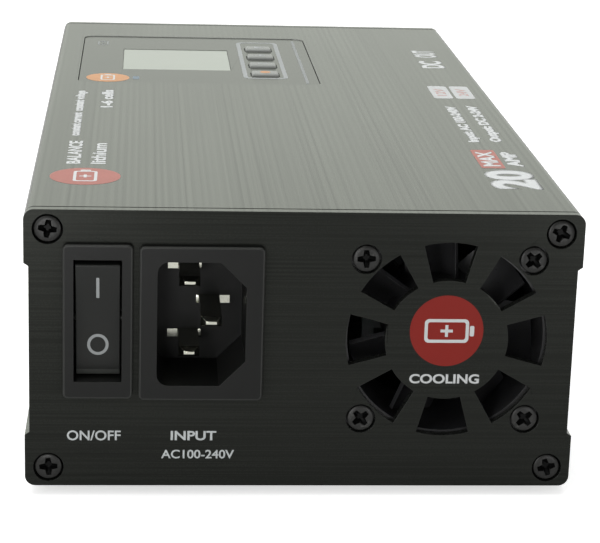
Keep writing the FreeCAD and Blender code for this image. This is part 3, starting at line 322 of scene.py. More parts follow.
def shape_of(made):
    """The mesh that a curve, letters or a cut solid comes to. The thing itself is removed."""
    bpy.context.view_layer.update()
    seen = made.evaluated_get(bpy.context.evaluated_depsgraph_get())
    mesh = bpy.data.meshes.new_from_object(seen)
    bpy.data.objects.remove(made)
    mesh.materials.clear()
    return mesh


def piece(name, mesh, body, slot, *materials):
    """A finished piece of the object, riding on a CAD body."""
    made = placed(name, mesh)
    for material in materials:
        mesh.materials.append(finish[material])
    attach(made, body)
    return made


def mesh_of(name, work):
    """A mesh from a working shape, which is used up."""
    bmesh.ops.recalc_face_normals(work, faces=work.faces)
    mesh = bpy.data.meshes.new(name)
    work.to_mesh(mesh)
    work.free()
    return mesh


def smooth(mesh, angle):
    """Shades a mesh smooth but for the edges that turn by more than an angle in degrees."""
    mesh.shade_smooth()
    mesh.set_sharp_from_angle(angle=math.radians(angle))


def soften(made, width, segments, edge_slot=-1, angle=BEVEL_ANGLE):
    """Rounds the sharp edges of a piece and keeps its flat faces flat."""
    bevel = made.modifiers.new("rounded_edges", "BEVEL")
    bevel.width = width * MM
    bevel.segments = segments
    bevel.limit_method = "ANGLE"
    bevel.angle_limit = math.radians(angle)
    bevel.material = edge_slot
    bevel.use_clamp_overlap = True
    bevel.miter_outer = "MITER_ARC"
    weighted = made.modifiers.new("flat_faces", "WEIGHTED_NORMAL")
    weighted.keep_sharp = True
    weighted.weight = FACE_WEIGHT


def body_of(node):
    """The name of the moving body that a CAD node belongs to."""
    return frame["nodes"][node]["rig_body"]


FLAT_ANGLE = math.radians(0.6)  # facets that turn by less than this are one flat face


def refined(node, slot, material, width, edge=None, segments=2, whole=True, areas=(), lip=0.0):
    """A copy of a CAD node with whole flat faces and rounded edges, which stands for the node.

    Each area gives a material to the faces that its test picks. The edge material goes on the
    rounding. A flange's front outline is rounded first, by the lip's width.
    """
    work = bmesh.new()
    work.from_mesh(frame["nodes"][node].data)
    bmesh.ops.remove_doubles(work, verts=work.verts, dist=WELD_DISTANCE)
    bmesh.ops.dissolve_limit(work, angle_limit=FLAT_ANGLE, verts=work.verts, edges=work.edges)
    if not whole:
        bmesh.ops.triangulate(work, faces=work.faces)
    low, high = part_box(node)
    for face in work.faces:
        face.material_index = 0
        for index, (_, inside) in enumerate(areas, 1):
            if inside(face, low, high):
                face.material_index = index
    materials = [material, *[name for name, _ in areas]]
    # The edge material, where given, is a lighter finish on the rounding: a painted highlight, with
    # real wear on the panels.
    if edge:
        materials.append(edge)
    if lip:
        rounded_lip(work, low, (low + high) / 2, lip, len(materials) - 1)
    mesh = mesh_of(node + "_finish", work)
    smooth(mesh, SMOOTH_ANGLE)
    made = piece(node + "_finish", mesh, body_of(node), slot, *materials)
    soften(made, width, segments, len(materials) - 1 if edge else -1)
    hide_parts(node)
    return made


FRONT_DEPTH = 0.01 * MM  # how deep the front of a flange reaches
SIDEWAYS = 0.5  # a normal with less than this along an axis points to its side
ALONG = 0.3  # and one with more than this points along it
OUTLINE_SIDE_REACH = 1.0 * MM
OUTLINE_TOP_REACH = 0.5 * MM
END_GAP_REACH = 0.6 * MM
COVER_MARGIN = 1.0 * MM
WALL_ROOT = 0.3 * MM  # how far the pocket's walls go below the cover
LOW_END_REACH = 1.0 * MM


def rounded_lip(work, low, middle, width, material):
    """Rounds the outer outline of a flange's front."""
    outline = []
    for edge in work.edges:
        at_front = all(corner.co.y - low.y < FRONT_DEPTH for corner in edge.verts)
        centre = (edge.verts[0].co + edge.verts[1].co) / 2
        outward = any(abs(face.normal.y) < SIDEWAYS and face.normal.dot(centre - middle) > 0
                      for face in edge.link_faces)
        if at_front and outward:
            outline.append(edge)
    bmesh.ops.bevel(work, geom=outline, offset=width * MM, offset_type="OFFSET", segments=3,
                    profile=0.5, affect="EDGES", clamp_overlap=True, material=material)


def on_outline(face, low, high):
    """Whether a face of an end panel is on the panel's outer edge."""
    middle = face.calc_center_median()
    near_side = min(middle.x - low.x, high.x - middle.x) < OUTLINE_SIDE_REACH
    near_top = min(middle.z - low.z, high.z - middle.z) < OUTLINE_TOP_REACH
    return abs(face.normal.y) < SIDEWAYS and (near_side or near_top)


# The faces that this picks are painted near black, a painted shade in the gaps.
def at_end_gap(face, low, high):
    """Whether a face of a shell looks into the gap between the shell and an end panel."""
    middle = face.calc_center_median()
    near_end = min(middle.y - low.y, high.y - middle.y) < END_GAP_REACH
    return near_end and abs(face.normal.y) > ALONG


# The faces that this picks are painted pale grey, a painted light that lifts the pocket's shade.
def in_pocket(face, low, high):
    """Whether a face of the upper shell is a wall of the pocket for the display cover."""
    middle = face.calc_center_median()
    cover_low, cover_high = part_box("display_overlay")
    beside = cover_low.x - COVER_MARGIN < middle.x < cover_high.x + COVER_MARGIN
    along = cover_low.y - COVER_MARGIN < middle.y < cover_high.y + COVER_MARGIN
    upright = abs(face.normal.z) < ALONG
    return beside and along and upright and middle.z > cover_low.z - WALL_ROOT


# The faces that this picks are painted lighter, a painted light against the shade deep in the
# switch's well.
def at_low_end(face, low, high):
    """Whether a face of the rocker is at its lower end."""
    return face.calc_center_median().z - low.z < LOW_END_REACH


def painted(node, material):
    """A CAD node that keeps its shape and gets a finish."""
    shown = frame["nodes"][node]
    shown.data.materials.clear()
    shown.data.materials.append(finish[material])


def axes_to(origin, right, up):
    """The matrix that lays a drawing's x along right and its y along up."""
    out = right.cross(up)
    rows = Matrix((right, up, out)).transposed().to_4x4()
    rows.translation = origin
    return rows


def plate(name, loops, origin, face, material, thickness=PRINT_THICKNESS):
    """A thin plate with a closed outline and, where given, holes, drawn in millimetres.

    The face says where printing lies: along which directions its letters run and stand, on
    which body and in which slot. The slot is not used.
    """
    right, up, body, slot = face
    curve = bpy.data.curves.new(name, "CURVE")
    curve.dimensions = "2D"
    curve.fill_mode = "BOTH"
    curve.extrude = thickness / 2
    for points in loops:
        spline = curve.splines.new("POLY")
        spline.points.add(len(points) - 1)
        for point, (u, v) in zip(spline.points, points):
            point.co = (u * MM, v * MM, 0, 1)
        spline.use_cyclic_u = True
    mesh = shape_of(placed(name + "_drawn", curve))
    work = bmesh.new()
    work.from_mesh(mesh)
    bmesh.ops.remove_doubles(work, verts=work.verts, dist=PRINT_WELD_DISTANCE)
    bmesh.ops.recalc_face_normals(work, faces=work.faces)
    work.to_mesh(mesh)
    work.free()
    outward = right.cross(up)
    mesh.transform(axes_to(origin + outward * (thickness / 2), right, up))
    mesh.name = name
    piece(name, mesh, body, slot, material)


def text(name, words, origin, width, height, face, material, weight):
    """Printed words that fill a width and height in millimetres, centred on the origin.

    The weight thickens each stroke, as a share of the letters' size.
    """
    right, up, body, slot = face
    curve = bpy.data.curves.new(name, "FONT")
    curve.body = words
    curve.size = 1.0
    curve.bevel_depth = weight
    curve.bevel_resolution = 0
    curve.align_x = "CENTER"
    curve.align_y = "CENTER"
    mesh = shape_of(placed(name + "_drawn", curve))
    lows = [min(point.co[i] for point in mesh.vertices) for i in range(3)]
    highs = [max(point.co[i] for point in mesh.vertices) for i in range(3)]
    sizes = [high - low for low, high in zip(lows, highs)]
    middle = Vector([(low + high) / 2 for low, high in zip(lows, highs)])
    scale = Matrix.Diagonal((width * MM / sizes[0], height * MM / sizes[1],
                             LETTER_THICKNESS / sizes[2], 1))
    work = bmesh.new()
    work.from_mesh(mesh)
    bmesh.ops.remove_doubles(work, verts=work.verts, dist=LETTER_WELD_DISTANCE)
    bmesh.ops.translate(work, verts=work.verts, vec=-middle)
    bmesh.ops.transform(work, matrix=scale, verts=work.verts)
    bmesh.ops.translate(work, verts=work.verts, vec=(0, 0, LETTER_LIFT))
    mesh = mesh_of(name, work)
    mesh.transform(axes_to(origin, right, up))
    piece(name, mesh, body, slot, material)


def circle(radius, count):
    """A circle about the origin."""
    angles = [2 * math.pi * i / count for i in range(count)]
    return [(radius * math.cos(angle), radius * math.sin(angle)) for angle in angles]


def oval(half_width, half_height):
    """An upright oval about the origin."""
    return [(u * half_width, v * half_height) for u, v in circle(1.0, 48)]


def rounded(width, height, radius, steps=6, centre=(0, 0)):
    """A rectangle with rounded corners."""
    points = []
    for quarter, (side, end) in enumerate(((1, 1), (-1, 1), (-1, -1), (1, -1))):
        across = centre[0] + side * (width / 2 - radius)
        upward = centre[1] + end * (height / 2 - radius)
        for i in range(steps + 1):
            angle = math.pi / 2 * (quarter + i / steps)
            points.append((across + radius * math.cos(angle), upward + radius * math.sin(angle)))
    return points


def plus_sign(arm, half):
    """A plus sign whose arms reach this far and are half this wide."""
    return [(half, arm), (-half, arm), (-half, half), (-arm, half), (-arm, -half), (-half, -half),
            (-half, -arm), (half, -arm), (half, -half), (arm, -half), (arm, half), (half, half)]


def battery_mark(name, origin, scale, face, material):
    """A plain battery pictogram: an outline, its end cap and a plus sign."""
    outer = rounded(9 * scale, 5 * scale, 0.9 * scale)
    inner = rounded(7.7 * scale, 3.7 * scale, 0.5 * scale)
    cap = rounded(0.9 * scale, 2.2 * scale, 0.3 * scale, centre=(5.15 * scale, 0))
    plate(name + "_outline", [outer, inner], origin, face, material)
    plate(name + "_cap", [cap], origin, face, material)
    plate(name + "_plus", [plus_sign(1.25 * scale, 0.3 * scale)], origin, face, material)


def centre_of(node):
    """The middle of a CAD node's box."""
    low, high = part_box(node)
    return (low + high) / 2


# ================================================================ the case
CASE = body_of("top_shell")
refined("top_shell", "black_anodised", "lid", 0.05,
        areas=[("seam", at_end_gap), ("pocket_wall", in_pocket)])
refined("bottom_shell", "black_anodised", "lid", 0.10, areas=[("seam", at_end_gap)])
for panel in ("input_panel", "output_panel"):
    refined(panel, "black_panel", "panel", 0.10, "panel_edge", whole=False,
            areas=[("lid", on_outline)])
refined("feet", "rubber", "rubber", 0.25)
refined("switch_housing", "black_plastic", "plastic", 0.15, "plastic_edge", lip=0.4)
refined("inlet_housing", "black_plastic", "plastic", 0.15, "plastic_edge", lip=0.4)
refined("switch_rocker", "black_plastic", "rocker", 0.18, areas=[("rocker_end", at_low_end)])
refined("inlet_contacts", "tinned_brass", "tinned", 0.12)
refined("switch_terminals", "tinned_brass", "tinned", 0.10)
refined("fan_frame", "fan_plastic", "fan", 0.20)
refined("fan_impeller", "fan_plastic", "fan", 0.10)
refined("display_overlay", "overlay", "overlay", 0.05)
refined("positive_socket_collar", "red_plastic", "red_plastic", 0.35, segments=3)
refined("negative_socket_collar", "black_plastic", "plastic", 0.35, segments=3)
refined("socket_contacts", "nickel", "nickel", 0.20)
refined("balance_header", "header_plastic", "header", 0.12)
refined("balance_contacts", "tinned_brass", "tinned", 0.08)

keys = sorted(name for name in frame["nodes"] if name.startswith("key_"))
for name in keys:
    refined(name, "key_rubber", "key", 0.22, segments=3)


# ================================================================ the pieces inside
# Each slot with the CAD nodes that keep their shape in it. Only the plastic's finish has a name
# of its own.
PLAIN = {
    "steel": ["fan_shaft"],
    "bronze": ["fan_bearing"],
    "lcd": ["display_cell"],
    "white_plastic": ["display_lamp_frame"],
    "board": ["control_board", "main_board", "control_card"],
    "nickel": ["control_board_spacers", "socket_nuts"],
    "black_plastic": ["tact_switches", "mains_fuse", "inrush_relay"],
    "copper": ["output_bus_bars"],
    "sheet": ["insulating_sheet"],
    "boxed_part": ["mains_capacitor"],
    "can": ["bulk_capacitors", "output_capacitors"],
    "heatsink": ["primary_heatsink", "secondary_heatsink"],
    "semiconductor": ["primary_transistors", "bridge_rectifier", "secondary_rectifiers"],
    "ribbon": ["display_ribbon"],
}
COILS = ("filter_choke", "boost_choke", "transformer", "output_choke")
for slot, part in (("ferrite", "_core"), ("winding", "_winding"), ("bobbin", "_bobbin")):
    PLAIN[slot] = [coil + part for coil in COILS]
for slot, nodes_covered in PLAIN.items():
    for node in nodes_covered:
        painted(node, "plastic" if slot == "black_plastic" else slot)


# ================================================================ screws
SCREW_SEGMENTS = 40
HEAD_RADIUS = 2.70
HEAD_HEIGHT = 1.3
# The rounding of the head's top, as places inside its radius and depths below its top.
HEAD_ROUNDING = ((1.08, 0.02), (0.36, 0.05), (0.22, 0.14), (0.15, 0.32), (0.13, 0.50))
SHANK_RADIUS = 1.45
THREAD_START = 0.3  # below the head
THREAD_PITCH = 0.5
THREAD_DEPTH = 0.2
RECESS_REACH = 1.92
RECESS_LIP = 0.12  # how far below the head's top the recess's painted shade starts
# The recess narrows in three steps. Each has its depth, its wings' reach and half width, and how
# far out the corners between the wings are.
RECESS_STEPS = ((-0.4, RECESS_REACH, 0.50, 0.74), (0.45, 1.56, 0.38, 0.58), (1.20, 0.62, 0.22, 0.30))


def lathed(work, profile):
    """Turns a profile of (radius, depth) points about the z axis, from one point on it to another."""
    rings = []
    for radius, depth in profile:
        if radius == 0:
            rings.append([work.verts.new((0, 0, -depth * MM))])
            continue
        ring = []
        for i in range(SCREW_SEGMENTS):
            angle = 2 * math.pi * i / SCREW_SEGMENTS
            ring.append(work.verts.new((radius * MM * math.cos(angle), radius * MM * math.sin(angle),
                                        -depth * MM)))
        rings.append(ring)
    for upper, lower in zip(rings, rings[1:]):
        for i in range(SCREW_SEGMENTS):
            j = (i + 1) % SCREW_SEGMENTS
            corners = [upper[i % len(upper)], upper[j % len(upper)],
                       lower[j % len(lower)], lower[i % len(lower)]]
            work.faces.new(list(dict.fromkeys(corners)))


def cross_cutter():
    """The tapering recess of a cross-head screw, drawn about z with its mouth above zero."""
    work = bmesh.new()
    rings = []
    for depth, reach, wing, waist in RECESS_STEPS:
        quarter = [Vector((reach, -wing)), Vector((reach, wing)), Vector((waist, waist))]
        turns = [Matrix.Rotation(turn * math.pi / 2, 2) for turn in range(4)]
        points = [rotation @ corner for rotation in turns for corner in quarter]
        rings.append([work.verts.new((point.x * MM, point.y * MM, -depth * MM)) for point in points])
    for upper, lower in zip(rings, rings[1:]):
        for i in range(len(upper)):
            j = (i + 1) % len(upper)
            work.faces.new((upper[i], upper[j], lower[j], lower[i]))
    work.faces.new(rings[0])
    work.faces.new(list(reversed(rings[-1])))
    return mesh_of("cross_cutter", work)


def screw_mesh(length):
    """A countersunk cross-head screw whose head's top is at z = 0, with thread ridges.

    The second material, a painted shade, goes on the recess.
    """
    work = bmesh.new()
    profile = [(0, 0), *[(HEAD_RADIUS - inside, depth) for inside, depth in HEAD_ROUNDING],
               (SHANK_RADIUS, HEAD_HEIGHT)]
    depth = HEAD_HEIGHT + THREAD_START
    while depth < length - THREAD_PITCH:
        profile.append((SHANK_RADIUS, depth))
        profile.append((SHANK_RADIUS - THREAD_DEPTH, depth + THREAD_PITCH / 2))
        depth += THREAD_PITCH
    profile += [(SHANK_RADIUS - THREAD_DEPTH, length), (0, length)]
    lathed(work, profile)
    head = placed("screw_blank", mesh_of("screw_blank", work))
    cutter = placed("cross_cutter", cross_cutter())
    recess = head.modifiers.new("recess", "BOOLEAN")
    recess.operation = "DIFFERENCE"
    recess.object = cutter
    recess.solver = "EXACT"
    mesh = shape_of(head)
    bpy.data.objects.remove(cutter)
    # The faces inside the recess get the second material, a painted shade.
    for face in mesh.polygons:
        inside = face.center.xy.length < RECESS_REACH * MM and face.center.z < -RECESS_LIP * MM
        face.material_index = 1 if inside and face.center.z > -HEAD_HEIGHT * MM else 0
    return mesh


def islands_of(node):
    """The places of the vertices of each separate solid in a CAD node."""
    source = bmesh.new()
    source.from_mesh(frame["nodes"][node].data)
    bmesh.ops.remove_doubles(source, verts=source.verts, dist=WELD_DISTANCE)
    islands = []
    left = set(source.verts)
    while left:
        todo = [left.pop()]
        island = []
        while todo:
            vertex = todo.pop()
            island.append(vertex.co.copy())
            for edge in vertex.link_edges:
                other = edge.other_vert(vertex)
                if other in left:
                    left.remove(other)
                    todo.append(other)
        islands.append(island)
    source.free()
    return islands


def reading_order(place):
    """Sorts the mains end before the output end, then from the top down and by x."""
    front, low, high = place
    return not front, -round(high.z, 3), round(low.x, 3)


def screw_set(node, turns, material):
    """The screws of one CAD node, each with its recess turned by its own angle in degrees."""
    places = []
    for island in islands_of(node):
        low = Vector([min(point[i] for point in island) for i in range(3)])
        high = Vector([max(point[i] for point in island) for i in range(3)])
        places.append((low.y < 0, low, high))
    places.sort(key=reading_order)
    work = bmesh.new()
    for (front, low, high), turn in zip(places, turns):
        mesh = screw_mesh((high.y - low.y) / MM)
        origin = (low + high) / 2
        origin.y = low.y if front else high.y
        right = X if front else -X
        mesh.transform(axes_to(origin, right, Z) @ Matrix.Rotation(math.radians(turn), 4, "Z"))
        work.from_mesh(mesh)
        bpy.data.meshes.remove(mesh)
    mesh = mesh_of(node + "_turned", work)
    smooth(mesh, THREAD_SMOOTH_ANGLE)
    made = piece(node + "_turned", mesh, CASE, "black_steel", material, "recess")
    soften(made, 0.05, segments=1, angle=THREAD_BEVEL_ANGLE)
    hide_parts(node)


screw_set("case_screws", (-8, -22, 3, 15, 12, -27, 35, 5), "screw")
screw_set("fan_screws", (2, 41, 40, 43), "fan_screw")


# ================================================================ the faces that carry printing
# Each has the directions in which its letters run and stand, its body and its slot.
FRONT = (X, Z, CASE, "black_panel")
REAR = (-X, Z, CASE, "black_panel")
LID = (Y, -X, CASE, "black_anodised")
COVER = (Y, -X, CASE, "overlay")
ON_INK = PRINT_THICKNESS  # the lift of ink that lies on other ink

case_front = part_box("input_panel")[0].y
case_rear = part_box("output_panel")[1].y
lid_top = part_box("top_shell")[1].z
cover_low, cover_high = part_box("display_overlay")


def on_front(x, z):
    """A place on the mains end panel, in metres."""
    return Vector((x, case_front, z))


def on_lid(x, depth, lift=0.0):
    """A place on the lid: x in mm from its middle, depth in mm behind the front face."""
    return Vector((x * MM, case_front + depth * MM, lid_top + lift))


def on_cover(x, y):
    """A place on the display cover, in metres."""
    return Vector((x, y, cover_high.z))


# ================================================================ printing on the mains end
def front_text(name, words, x, z, width, height, material="grey_ink", weight=0.02):
    """Words on the mains end panel, at a place in metres and with a size in millimetres."""
    text(name, words, on_front(x, z), width, height, FRONT, material, weight)


def front_printing():
    """The words under the switch, the inlet and the fan, and the red disc on the fan's grille."""
    line_drop, line_pitch = 7.95 * MM, 3.8 * MM
    disc_radius, disc_lift, fan_words_drop = 7.1, 1.9 * MM, 7.8 * MM
    switch_x = centre_of("switch_housing").x
    inlet_x = centre_of("inlet_housing").x
    first_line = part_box("switch_housing")[0].z - line_drop
    second_line = first_line - line_pitch
    front_text("switch_words", "ON/OFF", switch_x - 0.7 * MM, first_line, 10.3, 2.05)
    front_text("inlet_words", "INPUT", inlet_x - 1.15 * MM, first_line, 8.8, 1.95, weight=0.03)
    front_text("inlet_voltage", "AC100-240V", inlet_x - 0.3 * MM, second_line, 14.1, 1.8)
    fan = centre_of("fan_frame")
    grille_x = fan.x - 0.1 * MM
    disc = on_front(grille_x, fan.z + disc_lift)
    plate("fan_disc", [circle(disc_radius, 72)], disc, FRONT, "red_ink")
    battery_mark("fan_disc_mark", disc - Y * ON_INK, 0.95, FRONT, "front_white_ink_painted_shade")
    front_text("fan_words", "COOLING", grille_x, fan.z - fan_words_drop, 13.6, 1.95,
               "front_white_ink_painted_shade", 0.035)


def rocker_marks():
    """The I and O on the rocker's two faces, laid on the rocker's own surface.

    Each has its height above the rocker's middle as a share of the rocker's whole height.
    """
    rocker = bpy.data.objects["switch_rocker_finish"]
    low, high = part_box("switch_rocker")
    middle = centre_of("switch_rocker")
    tree = BVHTree.FromObject(rocker, bpy.context.evaluated_depsgraph_get())
    bar = [rounded(0.58, 4.4, 0.12, steps=3)]
    ring = [oval(2.03, 2.19), oval(1.47, 1.60)]
    for name, height, loops in (("rocker_on_mark", 0.285, bar), ("rocker_off_mark", -0.23, ring)):
        ahead = Vector((middle.x, low.y - 10 * MM, middle.z + height * (high.z - low.z)))
        place, normal, _, _ = tree.ray_cast(ahead, Y)
        up = (Z - normal * Z.dot(normal)).normalized()
        face = (up.cross(normal), up, body_of("switch_rocker"), "black_plastic")
        plate(name, loops, place, face, "rocker_ink_painted_shade", thickness=0.05 * MM)


front_printing()
rocker_marks()


# ================================================================ printing on the lid
def lid_text(name, words, x_low, x_high, start, end, weight):
    """Words that read away from the mains end, between two x and two depths, in mm."""
    place = on_lid((x_low + x_high) / 2, (start + end) / 2)
    text(name, words, place, end - start, x_high - x_low, LID, "white_ink", weight)


def lid_title():
    """The red disc and the words behind it, along the left side."""
    disc = (-42.2, 26.3)
    plate("lid_disc", [circle(7.0, 72)], on_lid(*disc), LID, "lid_red_ink")
    battery_mark("lid_disc_mark", on_lid(*disc, ON_INK), 0.95, LID, "white_ink")
    lid_text("lid_title", "BALANCE", -46.4, -43.4, 37, 58, 0.045)
    lid_text("lid_subtitle", "lithium", -41.4, -38.3, 37, 56, 0.038)
    lid_text("lid_note", "constant current  constant voltage", -46.7, -43.7, 63, 112, 0.08)
    lid_text("lid_range", "1-6 cells", -40.7, -37.7, 93, 113.5, 0.065)


def lid_rating():
    """The rating, its red box and the ranges of input and output, along the right side."""
    lid_text("rating_number", "20", 38.4, 48.6, 19.5, 36, 0.075)
    lid_text("rating_unit", "AMP", 44.7, 48.0, 39, 52.5, 0.075)
    box = (41.3, 45.85)
    plate("rating_box", [rounded(16.7, 5.0, 0.4)], on_lid(*box), LID, "lid_red_ink")
    text("rating_box_words", "MAX", on_lid(*box, ON_INK), 13.6, 3.7, LID, "white_ink", 0.05)
    lid_text("input_range", "Input: AC 100-240V", 39.7, 42.9, 61.8, 100, 0.10)
    lid_text("output_range", "Output: DC 2-24V", 44.7, 48.0, 62.2, 100.8, 0.10)
    for index, words in enumerate(("12V", "24V")):
        square = on_lid(40.9 + 5.3 * index, 116.5)
        plate(f"range_square_{index + 1}", [rounded(15.0, 4.6, 1.0)], square, LID, "pale_ink")
        text(f"range_square_words_{index + 1}", words, square + Z * ON_INK, 8.5, 2.4, LID,
             "square_ink", 0.03)
    lid_text("far_note_1", "DC", 40.6, 46.8, 148, 158, 0.06)
    lid_text("far_note_2", "OUT", 40.6, 46.8, 163, 173, 0.06)


lid_title()
lid_rating()


# ================================================================ printing on the cover and keys
def cover_printing():
    """The outline round the keys, the orange disc with its tick, a line and a battery."""
    near_margin, far_margin = 2.2 * MM, 8.0 * MM
    width, line = 11.0, 1.05
    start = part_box(keys[0])[0].y - near_margin
    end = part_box(keys[-1])[1].y + far_margin
    length = (end - start) / MM
    outer = rounded(length, width, 2.0)
    inner = rounded(length - 2 * line, width - 2 * line, 1.2)
    middle = on_cover(centre_of(keys[0]).x, (start + end) / 2)
    plate("keypad_outline", [outer, inner], middle, COVER, "mark_ink")
    disc = on_cover(-39.5 * MM, case_front + 129.8 * MM)
    plate("cover_disc", [circle(5.3, 64)], disc, COVER, "orange_ink")
    battery_mark("cover_disc_mark", disc + Z * ON_INK, 0.7, COVER, "white_ink")
    tick = on_cover(-32.6 * MM, case_front + 130 * MM)
    plate("cover_tick", [rounded(3.6, 1.6, 0.5)], tick, COVER, "blue_ink")
    line_length = (cover_high.y - cover_low.y) / MM - 5.0
    middle = on_cover(cover_high.x - 2.9 * MM, (cover_low.y + cover_high.y) / 2)
    plate("cover_line", [rounded(line_length, 0.7, 0.3)], middle, COVER, "faint_ink")
    corner = on_cover(cover_low.x + 5.0 * MM, cover_high.y - 10.0 * MM)
    battery_mark("cover_corner", corner, 0.55, COVER, "faint_ink")


def key_printing():
    """One mark on each key's cap: an orange dot, a bar, a plus sign and an arrow."""
    dot = circle(1.3, 32)
    bar = rounded(2.6, 0.6, 0.2)
    arrow = [(-1.0, -1.2), (1.3, 0), (-1.0, 1.2)]
    inks = ("orange_ink", "mark_ink", "mark_ink", "mark_ink")
    for name, outline, material in zip(keys, (dot, bar, plus_sign(1.3, 0.3), arrow), inks):
        cap = centre_of(name)
        cap.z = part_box(name)[1].z
        plate(name + "_mark", [outline], cap, (X, Y, body_of(name), "key_rubber"), material)


cover_printing()
key_printing()


# ================================================================ printing on the output end
def rear_text(name, words, x, z, width, height, weight=0.02):
    """Words on the output end panel, at a place in metres and with a size in millimetres."""
    text(name, words, Vector((x, case_rear, z)), width, height, REAR, "grey_ink", weight)


def rear_printing():
    """The signs over the two sockets and the words under them and under the header."""
    positive = centre_of("positive_socket_collar")
    negative = centre_of("negative_socket_collar")
    header = centre_of("balance_header")
    sign_lift, word_drop = 8.2 * MM, 9.4 * MM
    rear_text("positive_mark", "+", positive.x, positive.z + sign_lift, 2.4, 2.4, 0.03)
    rear_text("negative_mark", "-", negative.x, negative.z + sign_lift, 2.4, 0.5, 0.03)
    rear_text("output_words", "OUTPUT DC", (positive.x + negative.x) / 2, positive.z - word_drop,
              13, 1.9)
    rear_text("header_words", "BALANCE", header.x, header.z - word_drop, 12, 1.9)


rear_printing()


# ================================================================ stage, light and camera
FLOOR_REACH = 6.0
FLOOR_PAPER = (0.85, 0.87)  # the darkest and the lightest of its fibres
FIBRE_CELLS = (0.2, 0.2, 0.2)
FLOOR_GLOW = 0.60  # what the camera sees of the floor beyond the light that falls on it
SENSOR_WIDTH = 36.0  # in millimetres
ROOM_TINT = (0.965, 1.0, 0.925)
ROOM_SIDES = (-0.25, 0.3)  # a direction's x where the room's left ends and its right starts
ROOM_DEPTHS = (-0.35, 0.25)  # a direction's y where the room ends and the backdrop starts

# Each lamp with its width in metres, its power in watts, its place and what it points at.
LAMPS = (
    ("overhead", 1.0, 9.0, (-0.15, 0.10, 1.1), (0, 0, 0)),
    ("front_fill", 0.7, 4.0, (-0.75, -0.9, 0.55), (0, 0, 0.03)),
    ("left_glow", 0.05, 0.15, (-0.078, -0.35, 0.038), (-0.06, -0.107, 0.045)),
    ("right_glow", 0.05, 0.08, (0.125, -0.35, 0.03), (0.05, -0.107, 0.03)),
)


def stage_floor():
    """A large pale floor that keeps the object's shadow and looks white, but clear from below."""
    work = bmesh.new()
    bmesh.ops.create_grid(work, x_segments=8, y_segments=8, size=FLOOR_REACH)
    floor = placed("floor", mesh_of("floor", work))
    paper = bpy.data.materials.new("floor_paper")
    paper.use_nodes = True
    nodes = Nodes(paper.node_tree)
    path = nodes.add("ShaderNodeLightPath")
    side = nodes.add("ShaderNodeNewGeometry")
    fibre = nodes.span(nodes.noise(FIBRE_CELLS, detail=3.0), *FLOOR_PAPER)
    tone = nodes.add("ShaderNodeCombineColor", {0: fibre, 1: fibre, 2: fibre}).outputs[0]
    matt = nodes.add("ShaderNodeBsdfDiffuse", {"Color": tone})
    strength = nodes.math("MULTIPLY", path.outputs["Is Camera Ray"], FLOOR_GLOW)
    glow = nodes.add("ShaderNodeEmission", {"Strength": strength})
    lit = nodes.add("ShaderNodeAddShader", {0: matt.outputs[0], 1: glow.outputs[0]})
    clear = nodes.add("ShaderNodeBsdfTransparent")
    both = nodes.add("ShaderNodeMixShader", {0: side.outputs["Backfacing"], 1: lit.outputs[0],
                                             2: clear.outputs[0]})
    nodes.add("ShaderNodeOutputMaterial", {"Surface": both.outputs[0]})
    floor.data.materials.append(paper)


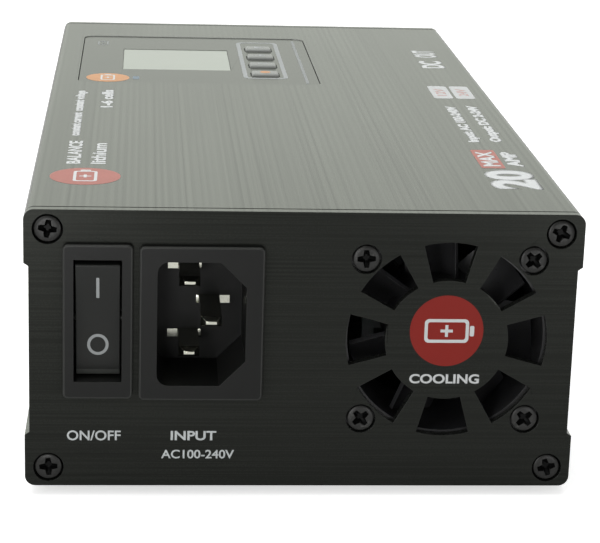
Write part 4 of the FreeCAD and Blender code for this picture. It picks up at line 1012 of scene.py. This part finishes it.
def world_light(fill, backdrop, room_left, room_right):
    """An even fill light, white behind the object and dimmer on the camera's side in reflections."""
    world = bpy.data.worlds.new("studio")
    world.use_nodes = True
    nodes = Nodes(world.node_tree)
    path = nodes.add("ShaderNodeLightPath")
    coordinates = nodes.add("ShaderNodeTexCoord")
    direction = nodes.add("ShaderNodeSeparateXYZ", {0: coordinates.outputs["Generated"]})
    room = nodes.span(direction.outputs["X"], room_left, room_right, *ROOM_SIDES)
    mirrored = nodes.span(direction.outputs["Y"], room, backdrop, *ROOM_DEPTHS)
    seen = nodes.math("MAXIMUM", path.outputs["Is Glossy Ray"], path.outputs["Is Transmission Ray"])
    strength = nodes.add("ShaderNodeMix", {0: seen, 2: fill, 3: mirrored}).outputs[0]
    strength = nodes.add("ShaderNodeMix", {0: path.outputs["Is Camera Ray"], 2: strength,
                                           3: 1.0}).outputs[0]
    tone = nodes.blend(seen, (1.0, 1.0, 1.0), ROOM_TINT)
    light = nodes.add("ShaderNodeBackground", {"Color": tone, "Strength": strength})
    nodes.add("ShaderNodeOutputWorld", {"Surface": light.outputs[0]})
    bpy.context.scene.world = world


def soft_lamp(name, width, power, place, target):
    """A square lamp that points from its place at a target."""
    lamp = bpy.data.lights.new(name, "AREA")
    lamp.shape = "SQUARE"
    lamp.size = width
    lamp.energy = power
    made = placed(name, lamp)
    made.visible_camera = False
    made.location = place
    made.rotation_mode = "QUATERNION"
    made.rotation_quaternion = (Vector(target) - Vector(place)).to_track_quat("-Z", "Y")


def camera(aim, azimuth, elevation, roll, distance, lens):
    """A camera that looks at a point from an azimuth and elevation, rolled about its own axis."""
    azimuth, elevation, roll = (math.radians(angle) for angle in (azimuth, elevation, roll))
    ahead = Vector((math.sin(azimuth), math.cos(azimuth), 0))
    forward = ahead * math.cos(elevation) - Z * math.sin(elevation)
    level = Vector((math.cos(azimuth), -math.sin(azimuth), 0))
    right = level * math.cos(roll) + level.cross(forward) * math.sin(roll)
    up = right.cross(forward)
    turned = Matrix((right, up, -forward)).transposed().to_4x4()
    turned.translation = aim - forward * distance
    made = placed("camera", bpy.data.cameras.new("camera"))
    made.data.sensor_width = SENSOR_WIDTH
    made.data.lens = lens
    made.data.clip_start = 0.01
    made.matrix_world = turned
    bpy.context.scene.camera = made


stage_floor()
world_light(fill=0.34, backdrop=0.81, room_left=0.20, room_right=0.0)
for lamp in LAMPS:
    soft_lamp(*lamp)
camera(aim=on_front(-1.107 * MM, 45.402 * MM), azimuth=4.575, elevation=16.187, roll=1.766,
       distance=393.775 * MM, lens=125.0985)
bpy.context.scene.view_settings.view_transform = "Standard"
